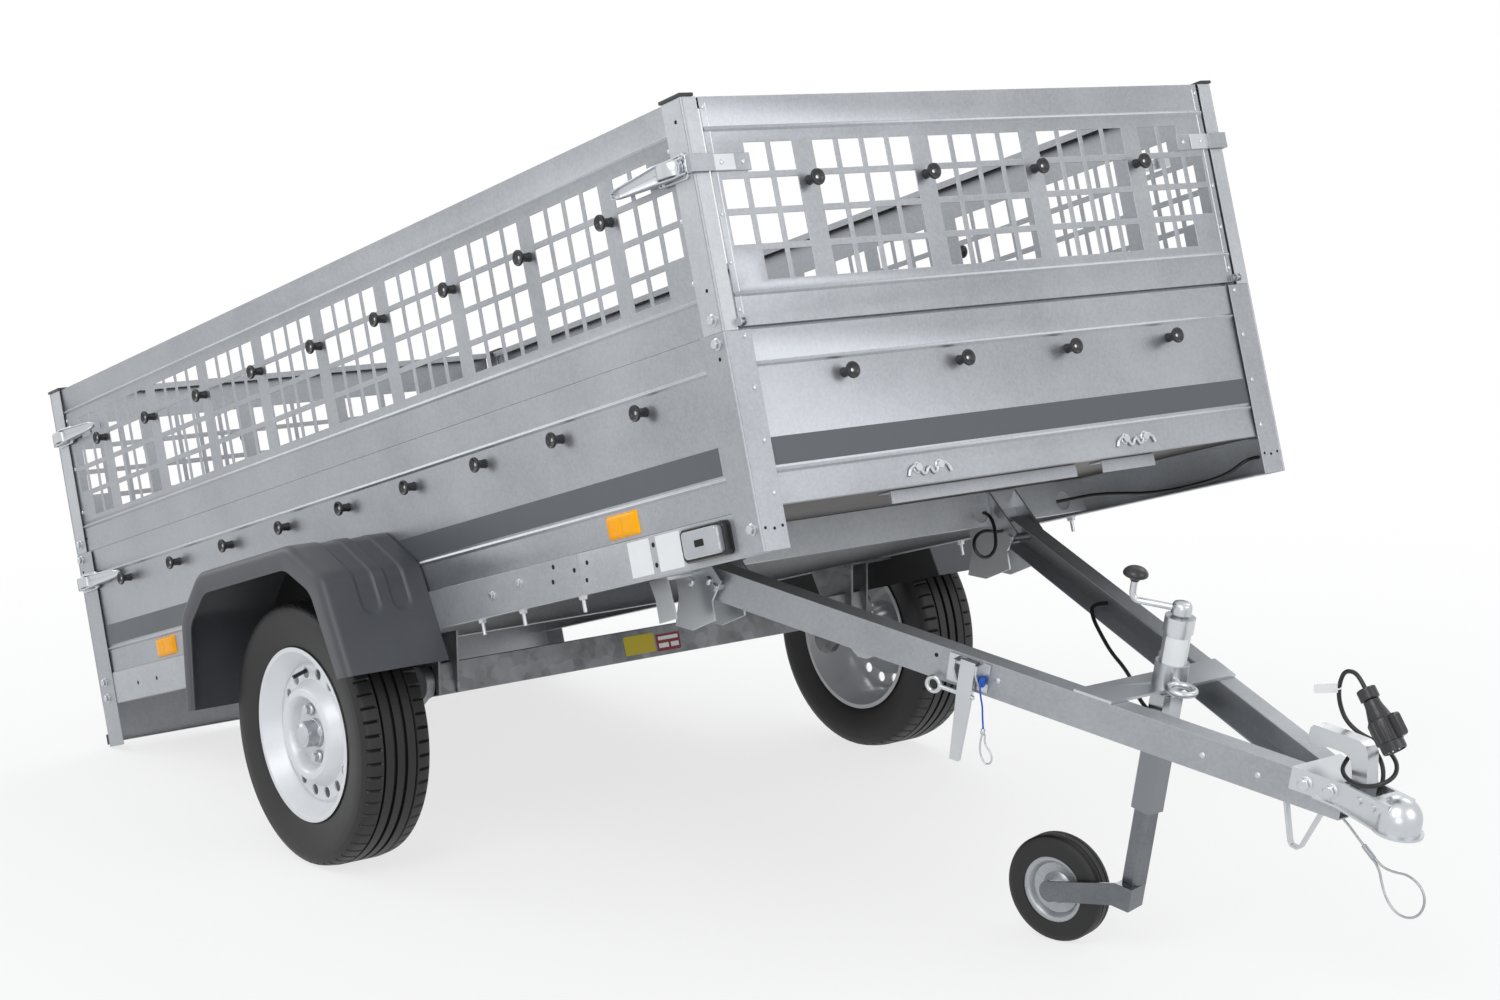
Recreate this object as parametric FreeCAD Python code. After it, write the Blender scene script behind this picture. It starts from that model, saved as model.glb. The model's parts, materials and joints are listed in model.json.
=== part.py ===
import FreeCAD, Part
import math
import os

# A single axle utility trailer with a tipping box, parked as in the photograph:
# box tipped nose up about its drawbar hinge, standing on its two main wheels
# and on the jockey wheel. Millimetres, +X forward to the coupling, +Y left, +Z up.
#
# Three frames are used. Box frame: x forward from the rear posts' rear edge,
# z up from the side rails' lower edge. Drawbar frame: origin at the tip hinge,
# x forward along the drawbar, z square to it. Ground frame: the kept one, with
# the floor at z = 0 and the middle of the whole length at x = 0.

# How the trailer stands
tip_angle = 14.8
drawbar_pitch = 27.5
swivel_angle = 12.5

# Box over its posts
box_length = 2700
box_width = 1310
box_top = 779
seam_height = 376
rail_height = 75
rear_foot_drop = 100
sheet = 2
wall_depth = 25
wall_lip = 15
seat_gap = 0.3
run_gap = 5.5
overrun = 10

# Frame below the box
rail_flange = 40
rail_sheet = 3
rail_end_inset = 40
rail_joint_inset = 558
floor_thickness = 9
cross_flange = 40
cross_height = 68
cross_hole_radius = 19
cross_hole_drop = 41.7
hinge_cross_inset = 514
inner_hole_y = 312
outer_hole_inset = 108
middle_cross_x = 640
lip_inset = 57
lip_height = 23
lip_depth = 34
long_lip_near = 309
long_lip_far = 151
short_lip_near = 219
short_lip_far = 361

# Corner posts
post_flange = 67
post_face = 58
post_narrow_face = 33
upper_post_flange = 56
rear_post_flange = 80
cap_height = 6
cap_grip = 3
buffer_depth = 12
buffer_height = 25
buffer_width = 30
buffer_lift = 6

# Rolled beads and windows of the walls
bead_height = 3
bead_width = 9
top_rim = 57
low_bead_z = 133
high_bead_inset = 60
mesh_bead_rise = 61
window_width = 48
window_bar = 11.3
window_height = 51
row_pitch = 62.7
first_row_inset = 82
group_columns = 4
group_pitch = 271.3
group_margin = 60
end_columns = 3

# Tie knobs
knob_radius = 15
knob_neck = 8
knob_length = 27
knob_rim = 5
upper_knob_inset = 153
lower_knob_rise = 71

# Gate pivots and toggle latches
pivot_out = 8
pivot_pin_radius = 3
pivot_eye_radius = 7
pivot_bore_gap = 0.4
pivot_ear = 3
latch_inset = 131
low_latch_inset = 88
latch_height = 31
latch_base_margin = 8
latch_plate = 3
strap_reach = 86
strap_tail = 14
lever_length = 215
lever_bulge = 22
latch_base_length = 90

# Running gear
tyre_radius = 273.5
tyre_width = 157
tyre_wall_gap = 6.5
rim_radius = 181
rim_lip = 6
rim_width = 127
rim_sheet = 4
rim_disc_inset = 28
rim_crown = 27
rim_crown_inner = 80
rim_crown_outer = 92
rim_flat_inner = 111
rim_flat_outer = 138
rim_well_radius = 150
vent_count = 16
vent_radius = 11.5
vent_circle = 124
hub_bore_radius = 30
bolt_circle = 49
bolt_radius = 8
bolt_count = 4
bolt_height = 14
hub_flange_radius = 66
hub_length = 70
cap_radius = 27
cap_length = 34
axle_x = 1280
axle_drop = 158
axle_tube = 65
arm_length = 150
arm_thickness = 22
arm_width = 70
arm_stand_off = 100
stub_radius = 20
axle_bracket_length = 150
axle_bracket_width = 45
axle_bracket_sheet = 5

# Tyre section: half width and radius as shares of the tyre's, from the bead out
tyre_section_shares = [(0.9, 0.71), (1, 0.86), (0.97, 0.93), (0.91, 0.968), (0.82, 0.987), (0.5, 1)]

# Mudguards
guard_width = 229
guard_top_z = 215
guard_bend_z = 135
guard_low_drop = 65
guard_top_half = 205
guard_bend_half = 315
guard_low_half = 362
guard_wall = 4
guard_skirt = 46

# Lamps, plates and reflectors
marker_inset = 82
marker_length = 128
marker_height = 60
marker_depth = 30
marker_low_z = 9
reflector_length = 98
reflector_height = 44
reflector_depth = 7
front_reflector_inset = 344
rear_reflector_x = 348
reflector_low_z = 82
lamp_length = 235
lamp_height = 105
lamp_depth = 32
lamp_inset = 28
lamp_drop = 62
number_gap = 99
number_height = 112
number_sheet = 2
valance_flange = 28

# Drawbar
hinge_inset = 475
hinge_drop = 28
tip_pin_radius = 8
beam_height = 63
beam_flange = 40
beam_sheet = 3
beam_angle = 17.33
beam_tail = 34
beam_end_inset = 132
hinge_ear_half = 24
hinge_ear_sheet = 4
hinge_ear_gap = 66
hinge_ear_outline = [(-15, -24), (-17, -61), (-92, -71), (-143, -56), (-115, -3)]
hinge_wing_rear = -115
hinge_wing_front = -58
hinge_wing_outline = [(-50, -45), (-106, -48), (-105, -3)]
hinge_wing_reach = 62
bridge_x = 742
bridge_length = 70
bridge_sheet = 5

# Coupling head, with its handle's outline as shares of its length and rise
coupling_reach = 1318
coupling_head = 38
coupling_shell = 4
coupling_lift = 8
coupling_foot = 14
coupling_cover = 86
coupling_rim = 6
ball_radius = 25.2
ball_depth = 30
slot_length = 62
slot_half = 28
cap_bolt_radius = 10
cap_bolt_height = 9
cap_bolt_z = 14
cap_bolt_pitch = 42
bolt_share = 0.23
rivet_radius = 6
rivet_height = 4
rivet_pitch = 29
handle_length = 134
handle_rise = 72
handle_width = 28
handle_foot = 18
handle_pin_radius = 4
handle_foot_inset = 62
handle_shares = [
    (0, 0.42), (0.015, 0.77), (0.06, 0.87), (0.3, 0.92), (0.57, 0.97), (0.77, 1), (0.87, 0.94),
    (0.92, 0.78), (0.955, 0.4), (1, 0), (0.76, 0), (0.74, 0.22), (0.7, 0.42), (0.66, 0.51),
    (0.57, 0.56), (0.34, 0.52), (0.12, 0.38), (0.045, 0.36)]

# Electric plug: places along its axis and radii
plug_reach = 1167
plug_height = 190
plug_slope = 43.5
plug_nut_length = 20
plug_nut_radius = 17
plug_neck_radius = 14
plug_grip_start = 56
plug_grip_end = 96
plug_grip_radius = 23
plug_length = 112
plug_face_radius = 21
plug_lug = 14
plug_lead = 16

# Cable guide below the beams, tipping latch and its lanyard
guide_inset = 116
guide_span = 84
guide_drop = 82
guide_round = 14
guide_sheet = 5
guide_width = 12
guide_side = 34
guide_lean = 1.1
tab_drop = 18
latch_bar_x = 517
latch_bar_width = 30
latch_bar_tip = 18
latch_bar_drop = 161
latch_bar_depth = 10
latch_bar_out = 14
latch_plate_rear = 45
latch_plate_front = 38
latch_plate_low = 24
latch_plate_high = 28
latch_ear = 4
eye_radius = 17
eye_wire = 4
eye_drop = 37
eye_reach = 51
clip_radius = 9
clip_wire = 1.6
clip_length = 58
ferrule_radius = 4.6
ferrule_length = 28

# Jockey wheel
tube_x = 762
tube_radius = 24
tube_wall = 2.5
tube_drop = 200
tube_top = 165
tube_square_top = 24
tube_corner = 8
collar_low = 137
collar_radius = 27
tube_cap = 3
crank_hub_radius = 18
crank_hub_height = 27
crank_arm = 88
crank_wire = 6
crank_rise = 36
crank_knob_radius = 23
crank_knob_neck = 8
crank_knob_height = 28
crank_turn = 217
dome_share = 0.85
leg_travel = 138
slide_gap = 0.5
leg_half = 18
leg_corner = 6
leg_overlap = 15
leg_foot_rise = 70
clamp_height = 44
clamp_wall = 6
clamp_grip = 92
clamp_grip_wire = 6
clamp_grip_turn = 328
fork_length = 148
fork_plate = 6
fork_foot = 44
fork_hub_radius = 20
jockey_radius = 100
jockey_width = 50
jockey_rim_radius = 62
jockey_hub_radius = 12
jockey_pin_radius = 6.5
jockey_side_gap = 6

# Cords: radii, and routes as chosen points in the frame of what carries them.
# The breakaway rope and its loop are measured from the beams' front ends.
arc_share = 0.45
cable_radius = 3.8
frame_cable_radius = 3.6
rope_radius = 2.2
lanyard_radius = 1.6
cable_route = [
    (330, 293.3, -12), (319.87, 260.85, -12), (348, 237, -25), (404, 209, -38), (472, 168, -41),
    (542, 126, -34),
    (604, 80, -25), (658, 34, -15), (712, -12, -9), (776, -46, -7), (856, -55, -11), (940, -49, -15),
    (1022, -34, -13), (1095, -17, -7), (1150, -2, -3), (1187, 8, -1), (1211, 19, 10), (1221, 22, 36),
    (1215, 25, 64), (1194, 27, 85), (1172, 25, 86), (1156, 19, 72), (1154, 5, 57), (1164, -16, 48),
    (1190, -34, 46), (1225, -43, 49), (1255, -35, 62), (1265, -12, 77), (1248, 13, 88), (1217, 28, 95),
    (1182, 34, 97), (1148, 31, 99), (1122, 26, 112), (1109, 21, 135), (1105, 16, 157), (1107, 12, 179),
    (1116, 7, 200), (1138, 2, 208.5)]
rope_start = (-46, 12, -42)
rope_route = [(-30, 12, -42), (-12, 17, -52)]
rope_end = (19, 26, -78)
loop_slope = 34.9
loop_turn = 8.5
loop_lead = 17
loop_tail = 15
loop_route = [
    (81, 35, -101), (106, 36, -94), (130, 37, -99), (147, 36, -113), (151, 35, -134),
    (142, 34, -154), (122, 33, -165), (99, 33, -164), (78, 33, -150), (63, 34, -129)]
lanyard_route = [
    (0, 0, 0), (0, -11, 0), (2, -18, -9), (6, -18, -25), (11, -14, -45), (13, -12, -65), (18, -12, -86)]
frame_cable_route = [
    (2646, 647.7, 37), (2646, 624, 37), (2634, 610, 31), (2612, 604, 20), (2572, 605, 12), (2505, 611, 9),
    (2430, 612, 8.5), (2362, 606, 14), (2306, 591, 25), (2258, 571, 32), (2220, 556, 33), (2191, 545, 33),
    (2169, 521, 33), (2160, 487, 34), (2157, 444, 35), (2158, 402, 35), (2162, 366, 34), (2173, 336, 33),
    (2193, 312, 33), (2219, 304, 26), (2237, 295, 8), (2246, 286, -17), (2250, 277, -42), (2250, 259, -58),
    (2248, 238, -59), (2245, 224, -43), (2242, 228, -22), (2238, 247, -9), (2235, 271, -5), (2226, 298, -8),
    (2207, 320, -10), (2207, 341.5, -10)]

X = FreeCAD.Vector(1, 0, 0)
Y = FreeCAD.Vector(0, 1, 0)
Z = FreeCAD.Vector(0, 0, 1)
ORIGIN = FreeCAD.Vector(0, 0, 0)
half_width = box_width / 2
wall_face = half_width - sheet
wall_inside = wall_face - wall_depth
gate_half = half_width - post_narrow_face - run_gap
upper_base = seam_height + run_gap
high_bead_z = seam_height - high_bead_inset
mesh_bead_z = seam_height + mesh_bead_rise
first_row_top = box_top - first_row_inset
window_rows = int((first_row_top - mesh_bead_z) / row_pitch)
upper_knob_z = box_top - upper_knob_inset
lower_knob_z = guard_top_z + lower_knob_rise
latch_z = box_top - latch_inset
low_latch_z = seam_height - low_latch_inset
outer_hole_y = half_width - outer_hole_inset
hinge_cross_x = box_length - hinge_cross_inset
wheel_y = half_width + tyre_wall_gap + tyre_width / 2
rim_disc = rim_width / 2 - rim_disc_inset
hub_back = rim_disc - rim_sheet - seat_gap
axle_tube_reach = wheel_y + hub_back - hub_length - arm_stand_off - arm_thickness - seat_gap
hinge_x = box_length - hinge_inset
hinge_z = -hinge_drop
head_x = coupling_reach - coupling_head
beam_front = coupling_reach - beam_end_inset
guide_rear = beam_front - guide_inset


def block(x0, x1, y0, y1, z0, z1):
    """A box between two corners."""
    return Part.makeBox(x1 - x0, y1 - y0, z1 - z0, FreeCAD.Vector(x0, y0, z0))


def rod(centre, axis, radius, length):
    """A round bar that starts at centre and runs along axis."""
    return Part.makeCylinder(radius, length, centre, axis)


def spread(outline, axis, start, end):
    """A prism: an outline in the plane across an axis, run from start to end."""
    if axis is X:
        corners = [FreeCAD.Vector(start, a, b) for a, b in outline]
    elif axis is Y:
        corners = [FreeCAD.Vector(a, start, b) for a, b in outline]
    else:
        corners = [FreeCAD.Vector(a, b, start) for a, b in outline]
    wire = Part.makePolygon(corners + corners[:1])
    return Part.Face(wire).extrude(axis * (end - start))


def turned(outline, centre, axis, side):
    """A body of revolution: outline points are along the axis and out to the side."""
    corners = [centre + axis * a + side * r for a, r in outline]
    wire = Part.makePolygon(corners + corners[:1])
    return Part.Face(wire).revolve(centre, axis, 360)


def joined(shapes):
    """One solid out of pieces that overlap or share faces."""
    first = shapes[0]
    return first.multiFuse(shapes[1:]).removeSplitter() if len(shapes) > 1 else first


def together(shapes):
    """Like pieces that do not touch, kept as one node."""
    return Part.makeCompound(shapes)


def other_side(shape):
    """The same piece on the left side of the trailer."""
    return shape.mirror(ORIGIN, Y)


def both_sides(shape):
    """A right piece and its left twin as one node."""
    return together([shape, other_side(shape)])


def rear_copy(shape):
    """A front piece repeated at the rear end of the box."""
    return shape.mirror(FreeCAD.Vector(box_length / 2, 0, 0), X)


# Walls of the box

def wall_section(low, high, beads):
    """Folded sheet seen along the wall: outer face at u = 0, wall depth inwards.

    The skin is one sheet thick with a rim folded in at the top and at the foot
    and a lip turned back at each; beads stand out from the skin.
    """
    pieces = [
        [(0, low), (sheet, low), (sheet, high), (0, high)],
        [(0, high - sheet), (wall_depth, high - sheet), (wall_depth, high), (0, high)],
        [(0, low), (wall_depth, low), (wall_depth, low + sheet), (0, low + sheet)],
        [(wall_depth - sheet, high - wall_lip), (wall_depth, high - wall_lip),
         (wall_depth, high), (wall_depth - sheet, high)],
        [(wall_depth - sheet, low), (wall_depth, low),
         (wall_depth, low + wall_lip), (wall_depth - sheet, low + wall_lip)],
    ]
    for z in beads:
        pieces.append([(sheet, z - bead_width / 2), (0, z - bead_width / 2),
                       (-bead_height, z), (0, z + bead_width / 2), (sheet, z + bead_width / 2)])
    return pieces


def wall(low, high, beads, start, end, place, axis):
    """A wall panel: its section's pieces run along an axis and joined."""
    parts = []
    for outline in wall_section(low, high, beads):
        parts.append(spread([place(u, z) for u, z in outline], axis, start, end))
    return joined(parts)


def side_wall(low, high, beads):
    """A right side wall, its skin facing right."""
    def place(u, z):
        return (-wall_face + bead_height + u, z)
    inset = sheet + bead_height + wall_depth + seat_gap
    return wall(low, high, beads, inset, box_length - inset, place, X)


def end_wall(low, high, beads, half, face):
    """A wall across the front of the box, its skin facing forward."""
    def place(u, z):
        return (face - bead_height - u, z)
    return wall(low, high, beads, -half, half, place, Y)


def group_count(length):
    """How many full window groups fit along a wall."""
    end = end_columns * (window_width + window_bar) + group_margin
    return int((length - 2 * end) / group_pitch)


def window_columns(groups, centre):
    """Left edges of the window columns, with the end groups' short columns marked."""
    pitch = window_width + window_bar
    group_width = group_columns * pitch - window_bar
    first = centre - groups * group_pitch / 2 + (group_pitch - group_width) / 2
    columns = []
    for group in range(groups):
        columns += [(first + group * group_pitch + k * pitch, False) for k in range(group_columns)]
    before = first - group_pitch + group_width
    after = first + groups * group_pitch
    for k in range(end_columns):
        outermost = k == end_columns - 1
        columns.append((before - k * pitch - window_width, outermost))
        columns.append((after + k * pitch, outermost))
    return columns


def windows(groups, centre, cut):
    """The punched windows of a mesh wall as one tool; cut makes one window block."""
    tools = []
    for start, outermost in window_columns(groups, centre):
        for row in range(window_rows):
            at_edge = row == 0 or row == window_rows - 1
            if outermost and at_edge:
                continue
            top = first_row_top - row * row_pitch
            tools.append(cut(start, start + window_width, top - window_height, top))
    return Part.makeCompound(tools)


def lower_side_wall():
    """Solid lower wall of the right side."""
    return side_wall(rail_height + seat_gap, seam_height, [low_bead_z, high_bead_z])


def upper_side_wall():
    """Mesh wall of the right side."""
    panel = side_wall(seam_height + seat_gap, box_top, [mesh_bead_z, box_top - top_rim])
    return panel.cut(windows(group_count(box_length), box_length / 2, lambda a, b, z0, z1:
                             block(a, b, -half_width, -half_width + wall_lip, z0, z1)))


def lower_front_wall():
    """Fixed lower wall across the front, between the side walls."""
    return end_wall(rail_height + seat_gap, seam_height, [low_bead_z, high_bead_z],
                    wall_inside, box_length - sheet)


def mesh_gate():
    """Front mesh gate, hinged at its foot."""
    panel = end_wall(upper_base, box_top, [mesh_bead_z, box_top - top_rim],
                     gate_half, box_length - sheet + bead_height)
    panel = panel.cut(windows(group_count(box_width), 0, lambda a, b, z0, z1:
                              block(box_length - wall_lip, box_length + overrun, a, b, z0, z1)))
    return joined([panel] + gate_ears(upper_base) + latch_straps(latch_z))


def tailgate():
    """Solid lower tailgate, drawn at the front and turned to the rear."""
    low = rail_height + run_gap
    panel = end_wall(low, seam_height, [low_bead_z, high_bead_z],
                     gate_half, box_length - sheet + bead_height)
    return joined([panel] + gate_ears(low) + latch_straps(low_latch_z))


# Gate pivots: an ear at each lower corner of a gate, and a pin on the post

def pivot_height(base):
    """Height of a gate's pivot line for a gate whose foot is at base."""
    return base + pivot_eye_radius


def gate_ears(base):
    """Both pivot eyes of a front gate."""
    face = box_length - sheet
    axis_x = box_length + pivot_out
    height = pivot_height(base)
    eyes = []
    for side in (-1, 1):
        inner = side * (gate_half - pivot_ear * 2)
        start = min(inner, inner + side * pivot_ear)
        eye = rod(FreeCAD.Vector(axis_x, start, height), Y, pivot_eye_radius, pivot_ear)
        arm = block(face - sheet, axis_x, start, start + pivot_ear,
                    base, base + pivot_eye_radius * 2)
        eyes.append(joined([eye, arm]).cut(
            rod(FreeCAD.Vector(axis_x, start - overrun, height), Y,
                pivot_pin_radius + pivot_bore_gap, pivot_ear + overrun * 2)))
    return eyes


def post_pin(base):
    """Pivot pin of the right front post, with the ear that carries it."""
    axis_x = box_length + pivot_out
    height = pivot_height(base)
    ear_y = -(gate_half + run_gap)
    pin = rod(FreeCAD.Vector(axis_x, ear_y - pivot_ear, height), Y,
              pivot_pin_radius, run_gap + pivot_ear * 4)
    eye = rod(FreeCAD.Vector(axis_x, ear_y - pivot_ear, height), Y, pivot_eye_radius, pivot_ear)
    arm = block(box_length - sheet, axis_x, ear_y - pivot_ear, ear_y,
                height - pivot_eye_radius, height + pivot_eye_radius)
    return [pin, eye, arm]


# Corner posts

def angle_post(flange, face, low, high):
    """Right front corner post: a side flange and a front flange."""
    side = block(box_length - flange, box_length, -half_width, -wall_face, low, high)
    front = block(box_length - sheet, box_length, -half_width, -half_width + face, low, high)
    return [side, front]


def front_lower_post():
    """Right front lower post, its wide face over the fixed front wall."""
    return joined(angle_post(post_flange, post_face, 0, seam_height))


def front_upper_post():
    """Right front upper post with the pin that its mesh gate turns on."""
    return joined(angle_post(upper_post_flange, post_narrow_face, seam_height + seat_gap, box_top)
                  + post_pin(upper_base))


def rear_lower_post():
    """Right rear lower post, with the pin for the tailgate."""
    pieces = angle_post(rear_post_flange, post_narrow_face, -rear_foot_drop, seam_height)
    return rear_copy(joined(pieces + post_pin(rail_height + run_gap)))


def post_caps():
    """Black caps on the tops of the four upper posts."""
    cap = block(box_length - upper_post_flange - cap_grip, box_length + cap_grip,
                -half_width - cap_grip, -wall_inside, box_top + seat_gap,
                box_top + seat_gap + cap_height)
    front = [cap, other_side(cap)]
    return together(front + [rear_copy(piece) for piece in front])


def buffers():
    """Rubber buffers behind the rear posts' feet."""
    low = -rear_foot_drop + buffer_lift
    right = block(-buffer_depth - seat_gap, -seat_gap, -half_width,
                  -half_width + buffer_width, low, low + buffer_height)
    return both_sides(right)


# Frame below the box

def rail():
    """Right side rail: a channel in two overlapping lengths, open to the inside."""
    def channel(face, low, high, start, end):
        outline = [(-face, low), (-face + rail_flange, low), (-face + rail_flange, low + rail_sheet),
                   (-face + rail_sheet, low + rail_sheet), (-face + rail_sheet, high - rail_sheet),
                   (-face + rail_flange, high - rail_sheet), (-face + rail_flange, high),
                   (-face, high)]
        return spread(outline, X, start, end)
    face = wall_face - seat_gap
    joint_x = box_length - rail_joint_inset
    rear = channel(face, 0, rail_height, rail_end_inset, joint_x)
    front = channel(face - sheet, 0, rail_height, joint_x - rail_flange, box_length - rail_end_inset)
    return joined([rear, front])


def cross_channel(x, facing, holes):
    """A channel across the frame between the rails; its web is at x, its holes at the given y."""
    half = wall_face - rail_flange - sheet - seat_gap * 3
    high = rail_height - seat_gap
    low = high - cross_height
    back = x - facing * cross_flange
    web_back = x - facing * rail_sheet
    outline = [(x, low), (back, low), (back, low + rail_sheet), (web_back, low + rail_sheet),
               (web_back, high - rail_sheet), (back, high - rail_sheet), (back, high), (x, high)]
    channel = spread(outline, Y, -half, half)
    for y in holes:
        centre = FreeCAD.Vector(x - overrun, y, low + cross_height - cross_hole_drop)
        channel = channel.cut(rod(centre, X, cross_hole_radius, overrun * 2))
    return channel


def front_lip(near, far):
    """A folded lip under the floor's front edge, from near to far across the trailer."""
    face = box_length - lip_inset
    high = rail_height - seat_gap
    outline = [(face, high), (face, high - lip_height), (face - rail_sheet, high - lip_height),
               (face - rail_sheet, high - rail_sheet), (face - lip_depth, high - rail_sheet),
               (face - lip_depth, high)]
    return spread(outline, Y, near, far)


def floor_board():
    """Plywood floor, lying on the rails and cross channels."""
    side = wall_inside - bead_height * 3 - seat_gap
    rear = sheet + wall_depth + run_gap + bead_height
    front = box_length - sheet - wall_depth - bead_height - seat_gap
    return block(rear, front, -side, side, rail_height + seat_gap, rail_height + seat_gap + floor_thickness)


def rear_valance():
    """Panel below the tailgate that carries the lamps, closing the frame's rear end."""
    half = half_width - sheet - seat_gap
    low = -rear_foot_drop + overrun
    high = rail_height - seat_gap
    skin = block(sheet + seat_gap, sheet * 2 + seat_gap, -half, half, low, high)
    foot = block(sheet + seat_gap, sheet + seat_gap + valance_flange, -half, half, low, low + sheet)
    head = block(sheet + seat_gap, sheet + seat_gap + valance_flange, -half, half, high - sheet, high)
    return joined([skin, foot, head])


def lamp_outer():
    """How far from the middle the rear lamps' outer ends lie."""
    return half_width - post_narrow_face - lamp_inset


def rear_lamp():
    """Right rear lamp cluster."""
    outer = lamp_outer()
    return block(sheet - lamp_depth, sheet, -outer, -outer + lamp_length,
                 -lamp_drop, -lamp_drop + lamp_height)


def number_plate():
    """Blank number plate between the rear lamps."""
    low = -lamp_drop - number_sheet
    half = lamp_outer() - lamp_length - number_gap
    return block(-number_sheet, sheet, -half, half, low, low + number_height)


def marker_lamp():
    """Right front marker lamp on the side rail."""
    face = wall_face - sheet
    front = box_length - marker_inset
    return block(front - marker_length, front, -face - marker_depth, -face - seat_gap,
                 marker_low_z, marker_low_z + marker_height)


def reflectors():
    """Four amber reflectors on the side walls."""
    face = wall_face - bead_height + seat_gap
    pieces = []
    for x in (box_length - front_reflector_inset - reflector_length, rear_reflector_x):
        right = block(x, x + reflector_length, -face - reflector_depth, -face,
                      reflector_low_z, reflector_low_z + reflector_height)
        pieces += [right, other_side(right)]
    return together(pieces)


# Tie knobs

def knob(base, axis, side):
    """A bobbin shaped knob that stands on base and points along axis."""
    outline = [(0, 0), (0, knob_radius), (knob_rim, knob_radius), (knob_rim * 2, knob_neck),
               (knob_length - knob_rim * 2, knob_neck), (knob_length - knob_rim, knob_radius),
               (knob_length, knob_radius), (knob_length, 0)]
    return turned(outline, base, axis, side)


def band_centres(groups, centre):
    """Centres of the plain bands between the window groups."""
    return [centre + (k - groups / 2) * group_pitch for k in range(groups + 1)]


def side_knobs():
    """Knobs of the right side wall, upper and lower row."""
    face = -wall_face + bead_height - seat_gap
    places = [FreeCAD.Vector(x, face, z) for x in band_centres(group_count(box_length), box_length / 2)
              for z in (upper_knob_z, lower_knob_z)]
    return [knob(place, -Y, X) for place in places]


def end_knobs(height, face):
    """A row of knobs across a front wall."""
    return [knob(FreeCAD.Vector(face + seat_gap, y, height), X, Y)
            for y in band_centres(group_count(box_width), 0)]


# Toggle latches

def latch_lever(height):
    """Base, wire loop and lever of a toggle on the right side, near the front post."""
    face = -half_width - seat_gap
    end = box_length - run_gap * 2
    base = block(end - latch_base_length, end, face - latch_plate, face, height - latch_base_margin,
                 height + latch_height + latch_base_margin)
    top = face - latch_plate
    outline = [(end - lever_length, top), (end, top), (end, top - latch_plate * 2),
               (end - lever_length / 3, top - lever_bulge), (end - lever_length, top - latch_plate * 3)]
    low = height + latch_plate
    lever = spread(outline, Z, low, height + latch_height - latch_plate)
    return joined([base, lever])


def latch_straps(height):
    """Hooked straps riveted on a front gate, that its two toggles pull on."""
    out = box_length + run_gap
    top = height + latch_height
    inner = block(box_length - sheet, out + latch_plate, -gate_half,
                  -gate_half + latch_plate, height, top)
    plate = block(box_length - sheet, box_length - sheet + latch_plate,
                  -gate_half, -gate_half + strap_reach, height, top)
    bridge = block(out, out + latch_plate, -half_width - run_gap - latch_plate,
                   -gate_half + latch_plate, height, top)
    tail = block(out + latch_plate - strap_tail, out + latch_plate,
                 -half_width - run_gap - latch_plate, -half_width - run_gap, height, top)
    strap = joined([inner, plate, bridge, tail])
    return [strap, other_side(strap)]


# Running gear

def tyre(side):
    """Road tyre about the axle line, with rounded shoulders."""
    bead = rim_radius - rim_lip + seat_gap
    half = [(rim_width / 2, bead)]
    half += [(a * tyre_width / 2, r * tyre_radius) for a, r in tyre_section_shares]
    outline = [(-a, r) for a, r in half] + half[::-1]
    return turned(outline, FreeCAD.Vector(axle_x, side * wheel_y, -axle_drop), Y, Z)


def rim(side):
    """Steel rim with its disc, vent holes and bolts; the disc is near the outer face."""
    centre = FreeCAD.Vector(axle_x, side * wheel_y, -axle_drop)
    out = Y * side
    half = rim_width / 2 + rim_lip
    disc = rim_disc
    well = rim_well_radius
    barrel = [(-half, rim_radius - seat_gap), (-half + rim_lip, rim_radius - rim_lip),
              (-half / 3, well), (half / 2, well), (half - rim_lip, rim_radius - rim_lip),
              (half, rim_radius - seat_gap), (half, rim_radius - rim_sheet - rim_lip),
              (half / 2, well - rim_sheet), (-half / 3, well - rim_sheet),
              (-half, rim_radius - rim_sheet - rim_lip)]
    face = [(disc, hub_bore_radius), (disc, rim_crown_inner - rim_crown / 2),
            (disc + rim_crown - rim_lip, rim_crown_inner - rim_lip), (disc + rim_crown, rim_crown_inner),
            (disc + rim_crown, rim_crown_outer), (disc + rim_crown - rim_lip, rim_crown_outer + rim_lip),
            (disc, rim_flat_inner), (disc, rim_flat_outer), (disc - rim_lip, well - rim_sheet / 2)]
    dish = face + [(s - rim_sheet, r) for s, r in reversed(face)]
    wheel = joined([turned(barrel, centre, out, Z), turned(dish, centre, out, Z)])
    for k in range(vent_count):
        angle = 2 * math.pi * k / vent_count
        spot = centre + X * (vent_circle * math.cos(angle)) + Z * (vent_circle * math.sin(angle))
        wheel = wheel.cut(rod(spot, out, vent_radius, rim_width))
    return wheel


def hub(side):
    """Hub that turns with the wheel: flange, barrel, grease cap and wheel bolts."""
    centre = FreeCAD.Vector(axle_x, side * wheel_y, -axle_drop)
    out = Y * side
    disc = rim_disc
    back = hub_back
    outline = [(back - hub_length, stub_radius + seat_gap), (back - hub_length, hub_flange_radius),
               (back, hub_flange_radius), (back, hub_bore_radius - seat_gap),
               (disc + rim_sheet, hub_bore_radius - seat_gap), (disc + rim_sheet, cap_radius),
               (disc + cap_length, cap_radius), (disc + cap_length, 0), (disc, 0),
               (disc, stub_radius + seat_gap)]
    pieces = [turned(outline, centre, out, Z)]
    for k in range(bolt_count):
        angle = 2 * math.pi * k / bolt_count
        spot = centre + X * (bolt_circle * math.cos(angle)) + Z * (bolt_circle * math.sin(angle))
        pieces.append(rod(spot + out * (disc + seat_gap), out, bolt_radius, bolt_height))
    return together(pieces)


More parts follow.
